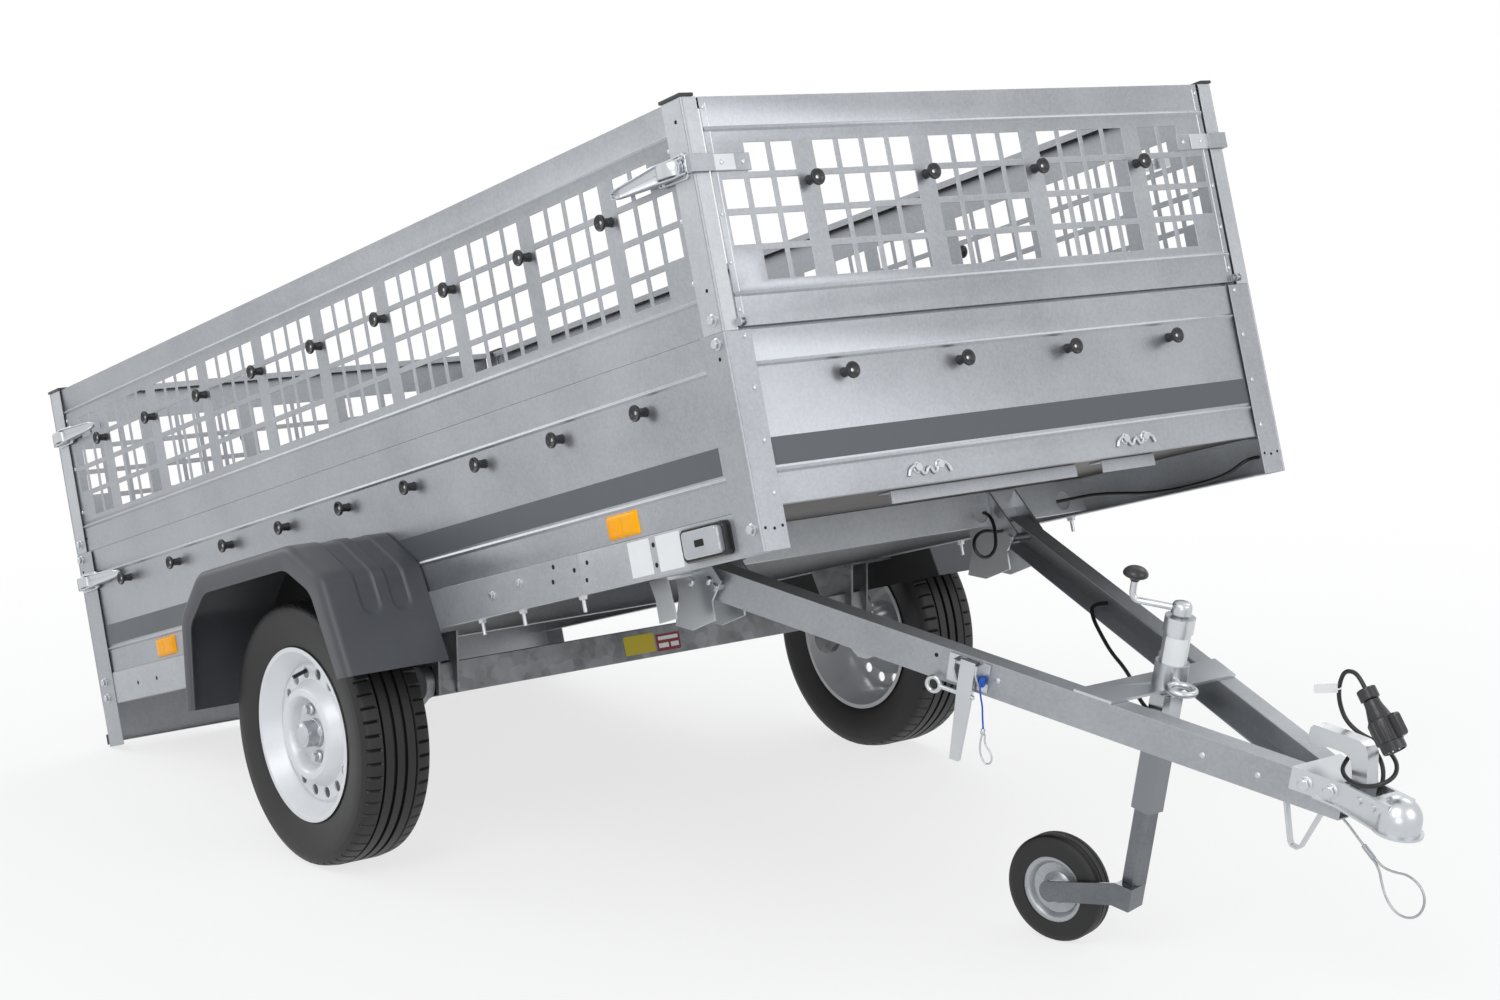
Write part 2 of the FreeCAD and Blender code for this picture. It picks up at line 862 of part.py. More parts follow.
def arm_tube_centre():
    """Centre of the axle tube: ahead of the hub by the swing arm and up to the frame."""
    rise = axle_drop - axle_tube * 1.5
    ahead = math.sqrt(arm_length ** 2 - rise ** 2)
    return axle_x + ahead, -axle_drop + rise


def axle_beam():
    """Square axle tube across the trailer."""
    x, z = arm_tube_centre()
    half = axle_tube / 2
    bore = half - axle_bracket_sheet
    tube = block(x - half, x + half, -axle_tube_reach, axle_tube_reach, z - half, z + half)
    return tube.cut(block(x - bore, x + bore, -axle_tube_reach - overrun, axle_tube_reach + overrun,
                          z - bore, z + bore))


def axle_bracket():
    """Right bracket round the axle tube's end, bolted up to the rail."""
    x, z = arm_tube_centre()
    half = axle_tube / 2
    side = -(axle_tube_reach - axle_bracket_width)
    reach = axle_bracket_length / 2
    outline = [(x - reach, -seat_gap), (x - half - axle_bracket_sheet, z - half),
               (x + half + axle_bracket_sheet, z - half), (x + reach, -seat_gap)]
    web = spread(outline, Y, side - axle_bracket_width, side - axle_bracket_width + axle_bracket_sheet)
    second = spread(outline, Y, side, side + axle_bracket_sheet)
    top = block(x - reach, x + reach, -wall_face + sheet * 2, side + axle_bracket_sheet,
                -seat_gap - axle_bracket_sheet, -seat_gap)
    hole = half + seat_gap
    tube = block(x - hole, x + hole, -box_width, 0, z - hole, z + hole)
    return joined([web, second, top]).cut(tube)


def swing_arm(side):
    """Trailing arm from the axle tube's end to the wheel, with the stub it turns on."""
    x, z = arm_tube_centre()
    inner = side * (axle_tube_reach + seat_gap)
    outer = inner + side * arm_thickness
    low, high = min(inner, outer), max(inner, outer)
    half = arm_width / 2
    outline = [(axle_x, -axle_drop - half), (x, z - half), (x, z + half), (axle_x, -axle_drop + half)]
    pieces = [spread(outline, Y, low, high),
              rod(FreeCAD.Vector(axle_x, low, -axle_drop), Y, half, arm_thickness),
              rod(FreeCAD.Vector(x, low, z), Y, half, arm_thickness),
              rod(FreeCAD.Vector(axle_x, inner, -axle_drop), Y * side, stub_radius,
                  wheel_y + rim_disc - seat_gap * 2 - axle_tube_reach)]
    return joined(pieces)


# Mudguards

def guard_outline(inset):
    """Outline of a mudguard from the side, drawn inwards by inset, open below."""
    half = [(guard_low_half - inset, -guard_low_drop), (guard_bend_half - inset, guard_bend_z - inset / 2),
            (guard_top_half - inset / 2, guard_top_z - inset)]
    front = [(axle_x + a, z) for a, z in half]
    rear = [(axle_x - a, z) for a, z in reversed(half)]
    return front + rear


def mudguard():
    """Right mudguard: a bent band over the wheel, its outer skirt and its lining on the wall."""
    inner = -wall_face - seat_gap
    outer = inner - guard_width
    shell = spread(guard_outline(0), Y, outer, inner)
    shell = shell.cut(spread(guard_outline(guard_wall), Y, outer + guard_wall, inner + overrun))
    shell = shell.cut(spread(guard_outline(guard_skirt), Y, outer - overrun, outer + guard_wall + overrun))
    lining = spread(guard_outline(guard_wall / 2), Y, inner - guard_wall, inner)
    below = block(-box_length, box_length, outer, 0, -box_width, seat_gap)
    return joined([shell, lining.cut(below)])


# Drawbar, in its own frame

def beam_half(x):
    """Distance of the beams' outer face from the middle at x."""
    return (head_x - x) * math.tan(math.radians(beam_angle))


def right_beam():
    """Right drawbar beam: a channel open to the inside, running in towards the coupling."""
    low, high = -beam_height / 2, beam_height / 2
    outline = [(0, low), (beam_flange, low), (beam_flange, low + beam_sheet), (beam_sheet, low + beam_sheet),
               (beam_sheet, high - beam_sheet), (beam_flange, high - beam_sheet),
               (beam_flange, high), (0, high)]
    slope = math.radians(beam_angle)
    length = (beam_front + beam_tail) / math.cos(slope)
    reach = beam_flange * 2
    channel = spread(outline, X, -reach, length + reach)
    channel.rotate(ORIGIN, Z, beam_angle)
    channel.translate(FreeCAD.Vector(-beam_tail, -beam_half(-beam_tail), 0))
    ends = block(-beam_tail, beam_front, -box_width, -coupling_shell / 2, -beam_height, beam_height)
    pin = rod(FreeCAD.Vector(0, -box_width, 0), Y, tip_pin_radius + pivot_bore_gap, box_width)
    return channel.common(ends).cut(pin)


def beam_centre(x):
    """Middle of a beam's width at x, square across the drawbar."""
    return beam_half(x) - beam_flange / 2 / math.cos(math.radians(beam_angle))


def hinge_bracket():
    """Right hinge bracket in the box frame: two ears with the tip pin, and an outer wing."""
    middle = -beam_centre(0)
    web_front = hinge_cross_x + seat_gap
    front = hinge_x + hinge_ear_half
    top = rail_height - rail_sheet - seat_gap
    under = rail_height - cross_height - seat_gap * 2
    low_edge = [(hinge_x + x, hinge_z + z) for x, z in hinge_ear_outline]
    outline = [(web_front, top), (web_front + hinge_ear_sheet, top), (front, hinge_z + tip_pin_radius)]
    outline += low_edge + [(low_edge[-1][0], under), (web_front, under)]
    plate_half = hinge_ear_gap / 2 + hinge_ear_sheet
    pieces = [spread(outline, Y, middle - plate_half, middle - hinge_ear_gap / 2),
              spread(outline, Y, middle + hinge_ear_gap / 2, middle + plate_half),
              block(web_front, web_front + hinge_ear_sheet, middle - plate_half, middle + plate_half,
                    hinge_z + beam_height, top),
              rod(FreeCAD.Vector(hinge_x, middle - plate_half - hinge_ear_sheet, hinge_z), Y,
                  tip_pin_radius, (plate_half + hinge_ear_sheet) * 2)]
    wing_far = middle - plate_half - hinge_wing_reach
    rear, fore = hinge_x + hinge_wing_rear, hinge_x + hinge_wing_front
    wing = [(hinge_x + x, hinge_z + z) for x, z in hinge_wing_outline] + [(rear, under), (fore, under)]
    pieces.append(spread(wing, Y, wing_far, wing_far + hinge_ear_sheet))
    pieces.append(block(rear, fore, wing_far, middle - hinge_ear_gap / 2, under - hinge_ear_sheet, under))
    return joined(pieces)


def bridge_plate():
    """Plate across the beams that carries the jockey wheel's clamp."""
    rear, front = bridge_x - bridge_length / 2, bridge_x + bridge_length / 2
    low = beam_height / 2 + seat_gap
    outline = [(rear, -beam_half(rear)), (front, -beam_half(front)),
               (front, beam_half(front)), (rear, beam_half(rear))]
    plate = spread(outline, Z, low, low + bridge_sheet)
    return plate.cut(rod(FreeCAD.Vector(tube_x, 0, low - overrun), Z, tube_radius + seat_gap, overrun * 3))


def clamp():
    """Split clamp on the bridge plate that grips the jockey wheel's tube, with its forged handle."""
    low = beam_height / 2 + seat_gap + bridge_sheet
    high = low + clamp_height
    outer = tube_radius + clamp_wall
    ring = rod(FreeCAD.Vector(tube_x, 0, low), Z, outer, high - low)
    lug = block(-outer - clamp_wall * 3, 0, -clamp_wall * 2, clamp_wall * 2, low, high)
    middle = (low + high) / 2
    bolt = rod(FreeCAD.Vector(-outer - clamp_wall, -clamp_wall * 3, middle), Y, clamp_wall, clamp_wall * 6)
    wire = clamp_grip_wire
    grip_place = FreeCAD.Vector(clamp_grip / 2 + outer, 0, middle)
    grip = Part.makeTorus(clamp_grip / 4, wire, grip_place, Z)
    neck = rod(FreeCAD.Vector(outer - clamp_wall / 2, 0, middle), X, wire, clamp_grip / 4)
    pieces = [lug, bolt, grip, neck]
    for piece in pieces:
        piece.rotate(ORIGIN, Z, clamp_grip_turn)
        piece.translate(FreeCAD.Vector(tube_x, 0, 0))
    hole = rod(FreeCAD.Vector(tube_x, 0, low - overrun), Z, tube_radius + seat_gap, high - low + overrun * 2)
    return joined([ring] + pieces).cut(hole)


def cover_half(x):
    """Distance of the coupling cover's outer face from the middle at x."""
    return beam_half(min(x, beam_front)) + seat_gap * 2 + coupling_shell


def cap_plan(inset, front, low, high):
    """The coupling's plan shape, inset from its outer face, between two heights."""
    rear = beam_front - coupling_cover - max(inset, 0)
    neck = -cover_half(beam_front) + inset
    side = [(rear, -cover_half(rear) + inset), (beam_front, neck), (front, neck)]
    return spread(side + [(x, -y) for x, y in reversed(side)], Z, low, high)


def hexagon(radius):
    """Corners of a hexagon about the origin."""
    return [(radius * math.cos(math.pi * k / 3), radius * math.sin(math.pi * k / 3)) for k in range(6)]


def cap_bolts():
    """Two hexagon bolts and two rivets on the right side of the coupling."""
    pieces = []
    for k in range(2):
        x = beam_front - coupling_cover * bolt_share - cap_bolt_pitch * (1 - k)
        head = spread(hexagon(cap_bolt_radius), Y, -cap_bolt_height, coupling_shell / 2)
        head.rotate(ORIGIN, Z, beam_angle)
        head.translate(FreeCAD.Vector(x, -cover_half(x), cap_bolt_z))
        place = FreeCAD.Vector(beam_front + rivet_pitch * (k + 1) + rivet_radius,
                               -cover_half(beam_front) - rivet_height, cap_bolt_z + rivet_radius)
        pieces += [head, rod(place, Y, rivet_radius, rivet_height + coupling_shell / 2)]
    return pieces


def coupling():
    """Pressed coupling head: a cover over the beams' ends, a slotted neck and a domed nose.

    Its lower edge runs level over the beams, slants down to the nose and carries a rolled rim.
    """
    high = beam_height / 2 + seat_gap + coupling_shell
    low = -coupling_foot
    wide = box_width
    rear = beam_front - coupling_cover
    nose = head_x + coupling_head + coupling_rim + overrun
    level = -coupling_shell
    shell = joined([cap_plan(0, head_x, low, high),
                    rod(FreeCAD.Vector(head_x, 0, low), Z, coupling_head, coupling_lift + coupling_foot),
                    Part.makeSphere(coupling_head, FreeCAD.Vector(head_x, 0, coupling_lift)).common(
                        block(rear, nose, -wide, wide, low, high + coupling_head))])
    edge = [(rear - overrun, level), (beam_front, level), (head_x, low), (nose, low)]
    below = spread([(rear - overrun, low - overrun)] + edge + [(nose, low - overrun)], Y, -wide, wide)
    band = edge[1:] + [(x, z + coupling_shell) for x, z in reversed(edge[1:])]
    band[0] = (beam_front - cap_bolt_pitch, level)
    band[-1] = (beam_front - cap_bolt_pitch, level + coupling_shell)
    lip = joined([cap_plan(-coupling_rim, head_x, low - overrun, high),
                  rod(FreeCAD.Vector(head_x, 0, low - overrun), Z, coupling_head + coupling_rim, high - low)])
    rim_band = spread(band, Y, -wide, wide).common(lip)
    bolts = cap_bolts()
    body = joined([shell.cut(below), rim_band] + bolts + [other_side(bolt) for bolt in bolts])
    wall_end = head_x - ball_radius - coupling_shell
    body = body.cut(cap_plan(coupling_shell, wall_end, low - overrun, high - coupling_shell))
    slot_start = beam_front - coupling_shell
    body = body.cut(block(slot_start, slot_start + slot_length, -slot_half, slot_half, low, high + overrun))
    return body.cut(rod(FreeCAD.Vector(head_x, 0, low - overrun), Z, ball_radius, ball_depth + overrun))


def coupling_handle():
    """Pressed handle of the coupling, turning on a pin between the neck's walls."""
    top = beam_height / 2 + seat_gap + coupling_shell
    rear = head_x - handle_foot_inset - handle_length
    half = handle_width / 2
    outline = [(rear + a * handle_length, top + b * handle_rise) for a, b in handle_shares]
    front = rear + handle_length
    foot_rear = beam_front + seat_gap * 4
    foot_low = top - handle_foot
    grip = spread(outline, Y, -half, half)
    foot = block(foot_rear, front, -half, half, foot_low, top + coupling_shell)
    reach = cover_half(beam_front) - coupling_shell - seat_gap
    pin = rod(FreeCAD.Vector((foot_rear + front) / 2, -reach, foot_low + handle_pin_radius * 1.5), Y,
              handle_pin_radius, reach * 2)
    return joined([grip, foot, pin])


def along_beam(shape, x):
    """Turns a shape drawn at the origin so that it lies on the right beam's outer face at x."""
    copy = shape.copy()
    copy.rotate(ORIGIN, Z, beam_angle)
    copy.translate(FreeCAD.Vector(x, -beam_half(x), 0))
    return copy


def tipping_latch():
    """Hanging lever on the right beam's outer side that locks the box down, with its eye bolt."""
    face = -seat_gap
    back = face - latch_ear
    out = back - latch_bar_out
    plate = block(-latch_plate_rear, latch_plate_front, back, face, -latch_plate_low, latch_plate_high)
    ears = []
    reach = latch_bar_width / 2 + run_gap
    for x in (-reach - latch_ear, reach):
        outline = [(back, latch_plate_high), (back, -latch_plate_low),
                   (out - latch_bar_depth, latch_plate_low / 2), (out - latch_bar_depth, latch_plate_high)]
        ears.append(spread(outline, X, x, x + latch_ear))
    pin_z = latch_plate_high - latch_bar_depth
    pin = rod(FreeCAD.Vector(-reach - latch_ear, out + latch_bar_depth / 2, pin_z), X,
              latch_ear, (reach + latch_ear) * 2)
    half, tip = latch_bar_width / 2, latch_bar_tip / 2
    hook = [(-half, latch_plate_high), (half, latch_plate_high), (half, -latch_plate_low),
            (tip, -latch_bar_drop), (-tip, -latch_bar_drop), (-half, -latch_plate_low)]
    lever = spread(hook, Y, out, out + latch_bar_depth)
    middle = out + latch_bar_depth / 2
    ring_x = -eye_reach - eye_radius + eye_wire
    ring = Part.makeTorus(eye_radius - eye_wire, eye_wire, FreeCAD.Vector(ring_x, middle, -eye_drop), Y)
    stem = rod(FreeCAD.Vector(-eye_reach, middle, -eye_drop), X, eye_wire, eye_reach + half + eye_wire)
    return along_beam(joined([plate, pin, lever, ring, stem] + ears), latch_bar_x)


def lanyard():
    """Thin cord that hangs from the latch's plate."""
    start = FreeCAD.Vector(latch_plate_front - latch_ear * 2, -seat_gap - latch_ear, 0)
    points = [start + FreeCAD.Vector(*point) for point in lanyard_route]
    return along_beam(cord("lanyard", points, lanyard_radius), latch_bar_x)


def lanyard_clip():
    """Bent wire clip hanging from the lanyard: a ring with two legs."""
    centre = FreeCAD.Vector(0, 0, -clip_radius - clip_wire)
    ring = Part.makeTorus(clip_radius, clip_wire, centre, Y)
    legs = [rod(centre + X * (side * clip_radius * 0.7), -Z, clip_wire, clip_length) for side in (-1, 1)]
    clip = joined([ring] + legs)
    clip.rotate(ORIGIN, Y, tip_angle - drawbar_pitch)
    last = FreeCAD.Vector(*lanyard_route[-1])
    clip.translate(last + FreeCAD.Vector(latch_plate_front - latch_ear * 2, -seat_gap - latch_ear, 0))
    return along_beam(clip, latch_bar_x)


def beyond_beams(points):
    """Points measured from the beams' front ends, as places in the drawbar frame."""
    return [(beam_front + x, y, z) for x, y, z in points]


def guide_outline(inset):
    """Outline of the bent strip that guides the cables, drawn inwards by inset."""
    top = -beam_height / 2 - seat_gap
    low = top - guide_drop + inset
    middle = guide_rear + guide_span / 2
    lean = inset * guide_lean
    return [(guide_rear + lean, top), (middle - guide_round + inset / 2, low + guide_round / 2),
            (middle - guide_round / 2, low), (middle + guide_round / 2, low),
            (middle + guide_round - inset / 2, low + guide_round / 2), (guide_rear + guide_span - lean, top)]


def cable_guide():
    """Bent strip below the beams, and the tab that the breakaway cable is fastened to."""
    start = -guide_side
    strip = spread(guide_outline(0), Y, start, start + guide_width)
    strip = strip.cut(spread(guide_outline(guide_sheet), Y, start - overrun, start + guide_width + overrun))
    tab_high = -beam_height / 2 - seat_gap
    tab_front, _, _ = beyond_beams([rope_start])[0]
    tab = block(tab_front - coupling_shell, tab_front, rope_start[1] - guide_width / 2,
                rope_start[1] + guide_width / 2, tab_high - tab_drop, tab_high)
    return together([strip, tab])


# Electric plug, breakaway cable and the cords' tubes

def cord(name, points, radius):
    """A cord's tube: straight runs joined by arcs as large as the runs allow.

    The arc at a corner has the radius arc_share * shorter run / tan(turn / 2).
    """
    spots = [FreeCAD.Vector(*point) for point in points]
    edges, radii, length = [], [], 0
    start = spots[0]
    for before, corner, after in zip(spots, spots[1:], spots[2:]):
        back, ahead = before - corner, after - corner
        trim = arc_share * min(back.Length, ahead.Length)
        back.normalize()
        ahead.normalize()
        turn = math.pi - back.getAngle(ahead)
        bend = trim / math.tan(turn / 2)
        inward = back + ahead
        inward.normalize()
        first, last = corner + back * trim, corner + ahead * trim
        middle = corner + inward * (bend / math.cos(turn / 2) - bend)
        edges += [Part.LineSegment(start, first).toShape(), Part.Arc(first, middle, last).toShape()]
        radii.append(round(bend, 1))
        length += (first - start).Length + bend * turn
        start = last
    edges.append(Part.LineSegment(start, spots[-1]).toShape())
    length += (spots[-1] - start).Length
    section = Part.Wire(Part.makeCircle(radius, spots[0], spots[1] - spots[0]))
    tube = Part.Wire(edges).makePipeShell([section], True, False)
    fill = tube.Volume / (math.pi * radius ** 2 * length)
    print("cord", name, "length", round(length, 1), "volume share", round(fill, 4), "radii", radii)
    return tube


def plug_axis():
    """Direction in which the plug points."""
    slope = math.radians(plug_slope)
    return FreeCAD.Vector(math.cos(slope), 0, -math.sin(slope))


def plug():
    """Thirteen pin plug: gland nut, tapering body, ribbed grip with a lug, and its face."""
    nut = spread(hexagon(plug_nut_radius), X, 0, plug_nut_length)
    outline = [(0, 0), (0, plug_neck_radius), (plug_nut_length, plug_neck_radius),
               (plug_grip_start, plug_face_radius), (plug_grip_start, plug_grip_radius),
               (plug_grip_end, plug_grip_radius), (plug_grip_end, plug_face_radius),
               (plug_length, plug_face_radius), (plug_length, 0)]
    lug = block(plug_grip_start, plug_grip_end, -plug_lug / 2, plug_lug / 2,
                plug_face_radius - plug_lug, plug_grip_radius + plug_lug)
    shape = joined([nut, turned(outline, ORIGIN, X, Z), lug])
    shape.rotate(ORIGIN, Y, plug_slope)
    shape.translate(FreeCAD.Vector(plug_reach, 0, plug_height))
    return shape


def electric_cable():
    """Cable from the left beam past the jockey tube, round the handle's foot and up to the plug."""
    entry = FreeCAD.Vector(plug_reach, 0, plug_height)
    start = beam_half(cable_route[0][0]) - beam_sheet / math.cos(math.radians(beam_angle))
    first = (cable_route[0][0], start, cable_route[0][2])
    lead = entry - plug_axis() * plug_lead
    return cord("electric_cable", [first] + cable_route[1:] + [tuple(lead), tuple(entry)], cable_radius)


def breakaway():
    """Wire rope from the tab to its ferrule, the ferrule, and the loop beyond it."""
    slope, turn = math.radians(loop_slope), math.radians(loop_turn)
    axis = FreeCAD.Vector(math.cos(slope) * math.cos(turn), math.sin(turn), -math.sin(slope) * math.cos(turn))
    across = FreeCAD.Vector(math.sin(slope), 0, math.cos(slope)) * (rope_radius + seat_gap / 2)
    rear = FreeCAD.Vector(*beyond_beams([rope_end])[0])
    face = rear + axis * ferrule_length
    lead = tuple(rear - axis * loop_lead)
    rope = cord("breakaway_cable", beyond_beams([rope_start] + rope_route) + [lead, tuple(rear)], rope_radius)
    points = [face + across, face + across + axis * loop_lead]
    points += beyond_beams(loop_route) + [face - across + axis * loop_tail, face - across]
    loop = cord("breakaway_loop", [tuple(point) for point in points], rope_radius)
    return rope, rod(rear, axis, ferrule_radius, ferrule_length), loop


def frame_cable():
    """Cable of the left marker lamp: along the rail, through the channel, to the hinge bracket."""
    rail = wall_face - seat_gap - sheet - rail_sheet
    ear = beam_centre(0) - hinge_ear_gap / 2 - hinge_ear_sheet
    first, last = frame_cable_route[0], frame_cable_route[-1]
    route = [(first[0], rail, first[2])] + frame_cable_route[1:-1] + [(last[0], ear, last[2])]
    return cord("frame_cable", route, frame_cable_radius)


# Jockey wheel, in the drawbar frame

def squared(half, corner, low, high):
    """A square bar about the jockey tube's axis with its corners cut off."""
    near = half - corner
    outline = [(-half, -near), (-near, -half), (near, -half), (half, -near),
               (half, near), (near, half), (-near, half), (-half, near)]
    return spread([(tube_x + a, b) for a, b in outline], Z, low, high)


def jockey_tube():
    """Outer tube, round above and pressed square below, with its collar and cap."""
    def column(radius, low, high):
        return rod(FreeCAD.Vector(tube_x, 0, low), Z, radius, high - low)
    bore = tube_radius - tube_wall
    shape = joined([column(tube_radius, tube_square_top - overrun, tube_top),
                    squared(tube_radius, tube_corner, -tube_drop, tube_square_top),
                    column(collar_radius, collar_low, tube_top)])
    shape = shape.cut(column(bore, tube_square_top - overrun, tube_top - tube_cap))
    return shape.cut(squared(bore, tube_corner - tube_wall, -tube_drop - overrun, tube_square_top))


def crank():
    """Crank hub on top of the tube, with its arm and mushroom knob."""
    low = tube_top + seat_gap
    arm_z = crank_hub_height / 2
    hub_piece = rod(ORIGIN, Z, crank_hub_radius, crank_hub_height)
    arm = rod(FreeCAD.Vector(0, 0, arm_z), X, crank_wire, crank_arm)
    elbow = Part.makeSphere(crank_wire, FreeCAD.Vector(crank_arm, 0, arm_z))
    riser = rod(FreeCAD.Vector(crank_arm, 0, arm_z), Z, crank_wire, crank_rise)
    base = arm_z + crank_rise - crank_wire / 2
    crown = base + crank_knob_height
    head = [(base, 0), (base, crank_knob_neck), (base + crank_knob_neck, crank_knob_neck),
            (base + crank_knob_neck, crank_knob_radius),
            (crown - crank_knob_neck, crank_knob_radius * dome_share),
            (crown, crank_knob_radius / 2), (crown, 0)]
    knob_top = turned(head, FreeCAD.Vector(crank_arm, 0, 0), Z, X)
    shape = joined([hub_piece, arm, elbow, riser, knob_top])
    shape.rotate(ORIGIN, Z, crank_turn)
    shape.translate(FreeCAD.Vector(tube_x, 0, low))
    return shape


def leg_low():
    """Height of the leg's foot, above the jockey wheel's centre."""
    return fork_low() + leg_foot_rise


def jockey_leg():
    """Inner leg that slides in the tube: round at the top, square below."""
    top = tube_top - tube_cap - leg_travel - run_gap
    change = -tube_drop + leg_overlap
    round_radius = tube_radius - tube_wall - slide_gap
    return joined([rod(FreeCAD.Vector(tube_x, 0, change), Z, round_radius, top - change),
                   squared(leg_half, leg_corner, leg_low(), change)])


def swivelled(shape):
    """Turns a fork piece about the jockey tube to where it stands."""
    copy = shape.copy()
    copy.rotate(FreeCAD.Vector(tube_x, 0, 0), Z, swivel_angle)
    return copy


def fork_low():
    """Height of the jockey wheel's centre in the drawbar frame."""
    slope = math.radians(drawbar_pitch - tip_angle)
    lean = math.radians(swivel_angle)
    tilt = math.asin(math.sin(lean) * math.sin(slope))
    hub_x = tube_x - fork_length * math.cos(lean)
    stand = jockey_radius * math.cos(tilt) + (jockey_width / 2 - jockey_side_gap) * math.sin(tilt)
    return (stand - hinge_height() + hub_x * math.sin(slope)) / math.cos(slope)


def hinge_height():
    """Height of the tip hinge above the floor."""
    turn = math.radians(tip_angle)
    rise = (hinge_x - axle_x) * math.sin(turn) + (hinge_z + axle_drop) * math.cos(turn)
    return tyre_radius + rise


def fork():
    """One sided pressed arm from the leg's foot down to the jockey wheel."""
    axle_z = fork_low()
    top = leg_low() - seat_gap
    side = jockey_width / 2 + jockey_side_gap
    low = top - fork_foot
    hub_x = tube_x - fork_length
    socket = squared(leg_half, leg_corner, low, top)
    outline = [(hub_x, axle_z - fork_hub_radius), (tube_x - leg_half, low), (tube_x + leg_half, low),
               (tube_x + leg_half, top), (tube_x - leg_half, top), (hub_x, axle_z + fork_hub_radius)]
    plate = spread(outline, Y, -side - fork_plate, -side)
    boss = rod(FreeCAD.Vector(hub_x, -side - fork_plate, axle_z), Y, fork_hub_radius, fork_plate)
    link = block(tube_x - leg_half, tube_x + leg_half, -side - fork_plate, 0, low, top)
    pin = rod(FreeCAD.Vector(hub_x, -side - fork_plate, axle_z), Y,
              jockey_pin_radius, jockey_width + jockey_side_gap * 2)
    return swivelled(joined([socket, plate, boss, link, pin]))


def jockey_tyre():
    """Solid rubber tyre of the jockey wheel."""
    half = jockey_width / 2
    edge = half - jockey_side_gap
    outline = [(-half, jockey_rim_radius), (-half, jockey_radius - jockey_side_gap * 2),
               (-edge, jockey_radius), (edge, jockey_radius),
               (half, jockey_radius - jockey_side_gap * 2), (half, jockey_rim_radius)]
    centre = FreeCAD.Vector(tube_x - fork_length, 0, fork_low())
    return swivelled(turned(outline, centre, Y, Z))


def jockey_rim():
    """Pressed rim of the jockey wheel with its hub."""
    half = jockey_width / 2 - jockey_side_gap / 2
    rim_edge = jockey_rim_radius - seat_gap
    inner = rim_edge - rim_sheet * 2
    bore = jockey_pin_radius + seat_gap
    hub_edge = jockey_hub_radius + rim_sheet
    outline = [(-half, rim_edge), (half, rim_edge), (half, inner), (rim_sheet, inner - rim_sheet),
               (rim_sheet, hub_edge), (half, hub_edge), (half, bore),
               (-half, bore), (-half, hub_edge), (-rim_sheet, hub_edge),
               (-rim_sheet, inner - rim_sheet), (-half, inner)]
    centre = FreeCAD.Vector(tube_x - fork_length, 0, fork_low())
    return swivelled(turned(outline, centre, Y, Z))


# Assembly

def box_nodes():
    """Every node drawn in the box frame."""
    nodes = {}

    def pair(name, shape):
        nodes[name + "_right"] = shape
        nodes[name + "_left"] = other_side(shape)

    pair("frame_rail", rail())
    holes = [side * y for side in (-1, 1) for y in (inner_hole_y, outer_hole_y)]
    nodes["cross_channels"] = together([
        cross_channel(hinge_cross_x, 1, holes), cross_channel(middle_cross_x, -1, []),
        front_lip(-long_lip_near, long_lip_far), front_lip(short_lip_near, short_lip_far)])
    nodes["frame_cable"] = frame_cable()
    nodes["floor_board"] = floor_board()
    nodes["rear_valance"] = rear_valance()
    pair("lower_side_wall", lower_side_wall())
    pair("mesh_side_wall", upper_side_wall())
    nodes["lower_front_wall"] = lower_front_wall()
    nodes["front_lower_posts"] = both_sides(front_lower_post())
    nodes["rear_lower_posts"] = both_sides(rear_lower_post())
    upper = front_upper_post()
    nodes["upper_posts"] = together([upper, other_side(upper),
                                     rear_copy(upper), rear_copy(other_side(upper))])
    nodes["post_caps"] = post_caps()
    nodes["rear_buffers"] = buffers()
    nodes["rear_lamps"] = both_sides(rear_lamp())
    nodes["number_plate"] = number_plate()
    nodes["marker_lamps"] = both_sides(marker_lamp())
    nodes["side_reflectors"] = reflectors()
    wall_face_x = box_length - sheet - bead_height
    knobs = side_knobs()
    nodes["wall_knobs"] = together(knobs + [other_side(piece) for piece in knobs]
                                   + end_knobs(lower_knob_z, wall_face_x))
    levers = latch_lever(latch_z)
    front_levers = [levers, other_side(levers)]
    low_levers = latch_lever(low_latch_z)
    rear_levers = [rear_copy(piece) for piece in front_levers + [low_levers, other_side(low_levers)]]
    nodes["toggle_levers"] = together(front_levers + rear_levers)
    nodes["axle_beam"] = axle_beam()
    nodes["axle_brackets"] = both_sides(axle_bracket())
    nodes["swing_arms"] = together([swing_arm(-1), swing_arm(1)])
    pair("mudguard", mudguard())
    nodes["hinge_brackets"] = both_sides(hinge_bracket())
    for name, side in (("right", -1), ("left", 1)):
        nodes["tyre_" + name] = tyre(side)
        nodes["rim_" + name] = rim(side)
        nodes["hub_" + name] = hub(side)
    gate = mesh_gate()
    gate_face = box_length - sheet
    nodes["front_gate"] = gate
    nodes["rear_gate"] = rear_copy(gate)
    nodes["tailgate"] = rear_copy(tailgate())
    gate_knobs = together(end_knobs(upper_knob_z, gate_face))
    nodes["front_gate_knobs"] = gate_knobs
    nodes["rear_gate_knobs"] = rear_copy(gate_knobs)
    nodes["tailgate_knobs"] = rear_copy(together(end_knobs(lower_knob_z, gate_face)))
    return nodes


